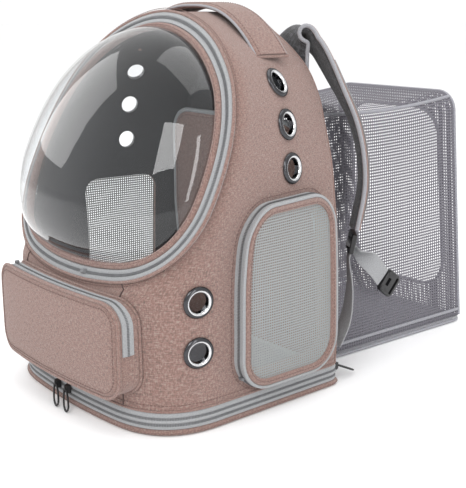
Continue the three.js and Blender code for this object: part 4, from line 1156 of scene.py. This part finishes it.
for side, word in ((1, "right"), (-1, "left")):
    rows = mirrored(strap_rows, side)
    strap = padded_band(f"strap_{word}_padding", rows, 61, 11.5, puff=0.55, sides=strap_sides)
    strap.data.materials.append(rose)
    strap.data.materials.append(spacer)
    for face in strap.data.polygons:
        k = min(len(rows) - 1, face.index // strap_sides)
        at, across = rows[k]
        way = (rows[min(len(rows) - 1, k + 1)][0] - rows[max(0, k - 1)][0]).normalized()
        inner_way = way.cross((across - way * across.dot(way)).normalized())
        towards_bag = Vector((0, -1, 0)) if k > 25 else Vector((-side * 0.3, -1, -0.3))
        sign = 1 if inner_way.dot(towards_bag) > 0 else -1
        face.material_index = 1 if face.normal.dot(inner_way) * sign > 0.55 else 0
    wear(strap, rose, "rose_cloth", f"shoulder_strap_{word}")
    for share, edge_word in ((-1, "outer"), (1, "inner")):
        wear(tube(f"strap_{word}_binding_{edge_word}", edge_of(rows, share, 60.5), 2.5, flat=0.9), binding,
             "grey_cloth")
    outward = []
    for i, (at, across) in enumerate(rows):
        way = (rows[min(len(rows) - 1, i + 1)][0] - rows[max(0, i - 1)][0]).normalized()
        across = (across - way * across.dot(way)).normalized()
        up = way.cross(across)
        up = -up if up.dot(Vector((side * 0.5, 1, 0))) < 0 else up
        outward.append((at, across, up))
    strip = [(at + up * 6.3 + across * 6 * side, across) for at, across, up in outward[strip_rows]]
    wear(flat_band(f"strap_{word}_webbing", strip, 25, 1.3), webbing, "zip_tape")
    gleam = [(at + up * 7.3 + across * 6 * side, across) for at, across, up in outward[strip_rows]]
    wear(flat_band(f"strap_{word}_reflector", gleam, 9, 0.5), glint, "zip_tape")

    adjuster_at, adjuster_up = Vector((133, back + 43.8, 165)), Vector((0, 0.25, 1))
    adjuster = frame_plate(f"strap_{word}_adjuster", flip(adjuster_at, side),
                           flip(Vector((0.75, -0.66, 0)), side), adjuster_up,
                           (34.6, 25.6), [(2.6, 9.2, 13.4), (-9.2, -2.6, 13.4)], 6.4)
    wear(adjuster, black, "black_plastic", f"strap_buckle_{word}")
    lower = through([((133, back + 40.5, 151.9), (0.75, -0.66, 0)),
                     ((133.2, back + 38.9, 145.4), (0.75, -0.66, 0)),
                     ((141, back + 34, 110), (0.85, -0.5, 0)), ((146, back + 22, 72), (0.95, -0.3, 0)),
                     ((143, back + 6, 44), (1, 0, 0))], 50)
    wear(flat_band(f"lower_webbing_{word}_band", mirrored(lower, side), 25, 1.7), webbing, "zip_tape",
         f"lower_webbing_{word}")
    wrap = []
    for k in range(15):
        a = math.pi * k / 14
        out_by, up_by = 3.9 * math.cos(a), 5.9 * math.sin(a) - 5.9
        at = adjuster_at + Vector((0.64, 0.73, -0.18)) * out_by + adjuster_up * up_by
        wrap.append((at, Vector((0.75, -0.66, 0))))
    wear(flat_band(f"adjuster_wrap_{word}", mirrored(wrap, side), 24.4, 1.4), webbing, "zip_tape")
    belt = through([((136, back + 48.3, 158), (0.75, -0.6, 0.1)), ((137, back + 64, 144), (0.7, 0, 0.6)),
                    ((133, back + 87, 127), (0.15, 0.6, 0.75)), ((129, back + 110, 106), (0.1, 0.6, 0.75))],
                   50)
    wear(flat_band(f"belt_webbing_{word}_band", mirrored(belt, side), 25, 1.7), webbing, "zip_tape",
         f"belt_webbing_{word}")
    clip_at = flip(Vector((128, back + 123.2, 95.6)), side)
    clip_across, clip_up = flip(Vector((0.1, 0.6, 0.79)), side), flip(Vector((-0.05, 0.8, -0.6)), side)
    clip = frame_plate(f"belt_clip_{word}_body", clip_at, clip_across, clip_up, (30.6, 29.6),
                       [(5.5, 10.5, 12), (-9.5, -3.0, 5.5)], 7.6, 6.0)
    wear(clip, black, "black_plastic", f"belt_clip_{word}")
    across, up = clip_across.normalized(), clip_up.normalized()
    out = across.cross(up)
    prongs = [(clip_at + across * s * 10.5 - up * 11, across, up, out) for s in (-1, 1)]
    wear(boxes(f"belt_clip_{word}_catches", prongs, (3.6, 6.5, 9.0), 0.2), black, "black_plastic")
    tab_rows = [(flip(Vector((134 + 4 * t, back + 2.9 + 0.8 * t, 33 + 8.5 * t)), side), Vector((1, 0, 0)))
                for t in (0, 0.33, 0.66, 1)]
    wear(padded_band(f"corner_tab_{word}_web", tab_rows, 30, 4.6, puff=0.5), black, "black_plastic",
         f"corner_tab_{word}")

# Zip pulls: black sliders with cord loops, two on the front of the base and one at its rear corner.
# Slimmer sliders without loops sit on the zips of the bubble, the right side window and the pocket.
PULLS = [
    ("base_pull_1", Vector((-22, front_face(-22, body_foot) - 1.4, 19.05)), Vector((0, -1, 0)),
     Vector((1, 0, 0)), Vector((0.65, -0.38, -0.56))),
    ("base_pull_2", Vector((0, front_face(0, body_foot) - 1.4, 19.05)), Vector((0, -1, 0)),
     Vector((1, 0, 0)), Vector((0.65, -0.38, -0.56))),
    ("rear_pull", Vector((half_width - 14, half_depth + 0.9, 18.05)), Vector((0, 1, 0)), Vector((-1, 0, 0)),
     Vector((0.1, 0.9, -0.42))),
]
for name, centre, out, side, drop in PULLS:
    drop = drop.normalized()
    up = out.cross(side)
    parts = [(centre + out * 3.4, side, up, out), (centre + out * 6.2, side, up, out)]
    slider = boxes(f"{name}_slider", parts[:1], (8, 10, 5), 0.25)
    wear(slider, black, "black_plastic", name)
    wear(boxes(f"{name}_bridge", parts[1:], (3, 7.5, 2.2), 0.2), black, "black_plastic")
    top = centre + out * 6
    loop_places = [side * -2.5, side * -4.5 + drop * 12, side * -4 + drop * 25, drop * 29,
                   side * 4 + drop * 25, side * 4.5 + drop * 12, side * 2.5]
    loop_rows = through([(top + p, Vector((0, 0, 1))) for p in loop_places], 60)
    wear(tube(f"{name}_loop", [at for at, across in loop_rows], 1.15), black, "black_plastic")
small_pulls = [
    (on_front(inset_outline(6.5)[6].x, inset_outline(6.5)[6].y, 4.5), lean_normal,
     Vector((1, 0, 0.15)).normalized()),
    (side_point(side_outline(0.1, 12)[30], 7.4, 1) + Vector((0.5, 0, -2)), Vector((0, 0, -1)),
     Vector((0, 1, 0))),
    (coil_line[-1] + Vector((1.6, 0, 0)), Vector((1, 0, 0)), Vector((0, 0, 1))),
]
for index, (at, out, way) in enumerate(small_pulls):
    across = way.cross(out).normalized()
    way = out.cross(across).normalized()
    wear(boxes(f"small_slider_{index + 1}", [(at, across, way, out)], (5.5, 8, 3.2), 0.3), coil_dark,
         "black_plastic")

# Floor and light: a white sweep under big soft boxes, as in a catalogue photograph.
floor_material, _, floor_shader = node_material("white_floor")
floor_shader.inputs["Base Color"].default_value = (0.965, 0.965, 0.97, 1)
floor_shader.inputs["Roughness"].default_value = 0.9
bpy.ops.mesh.primitive_plane_add(size=40, location=(0, 3.0, -0.0004))
floor = bpy.context.object
floor.name = "floor"
floor.data.materials.append(floor_material)
world = bpy.context.scene.world or bpy.data.worlds.new("studio")
bpy.context.scene.world = world
world.use_nodes = True
world.node_tree.nodes["Background"].inputs["Color"].default_value = (1.0, 1.0, 1.0, 1)
world.node_tree.nodes["Background"].inputs["Strength"].default_value = 1.04
for name, at, size, power in (
    ("key", (1.4, -2.2, 2.4), (1.3, 1.3), 34),
    ("fill", (-2.4, -1.0, 1.6), (1.4, 1.8), 16),
    ("strip", (2.6, -0.4, 1.1), (0.35, 1.9), 14),
    ("top", (0.0, 0.6, 3.0), (2.2, 2.2), 24),
):
    lamp = bpy.data.lights.new(name, "AREA")
    lamp.shape = "RECTANGLE"
    lamp.size, lamp.size_y = size
    lamp.energy = power
    light = bpy.data.objects.new(name, lamp)
    bpy.context.collection.objects.link(light)
    light.location = at
    light.rotation_euler = (Vector((0, 0.05, 0.2)) - Vector(at)).to_track_quat("-Z", "Y").to_euler()
bpy.context.scene.view_settings.view_transform = "Standard"
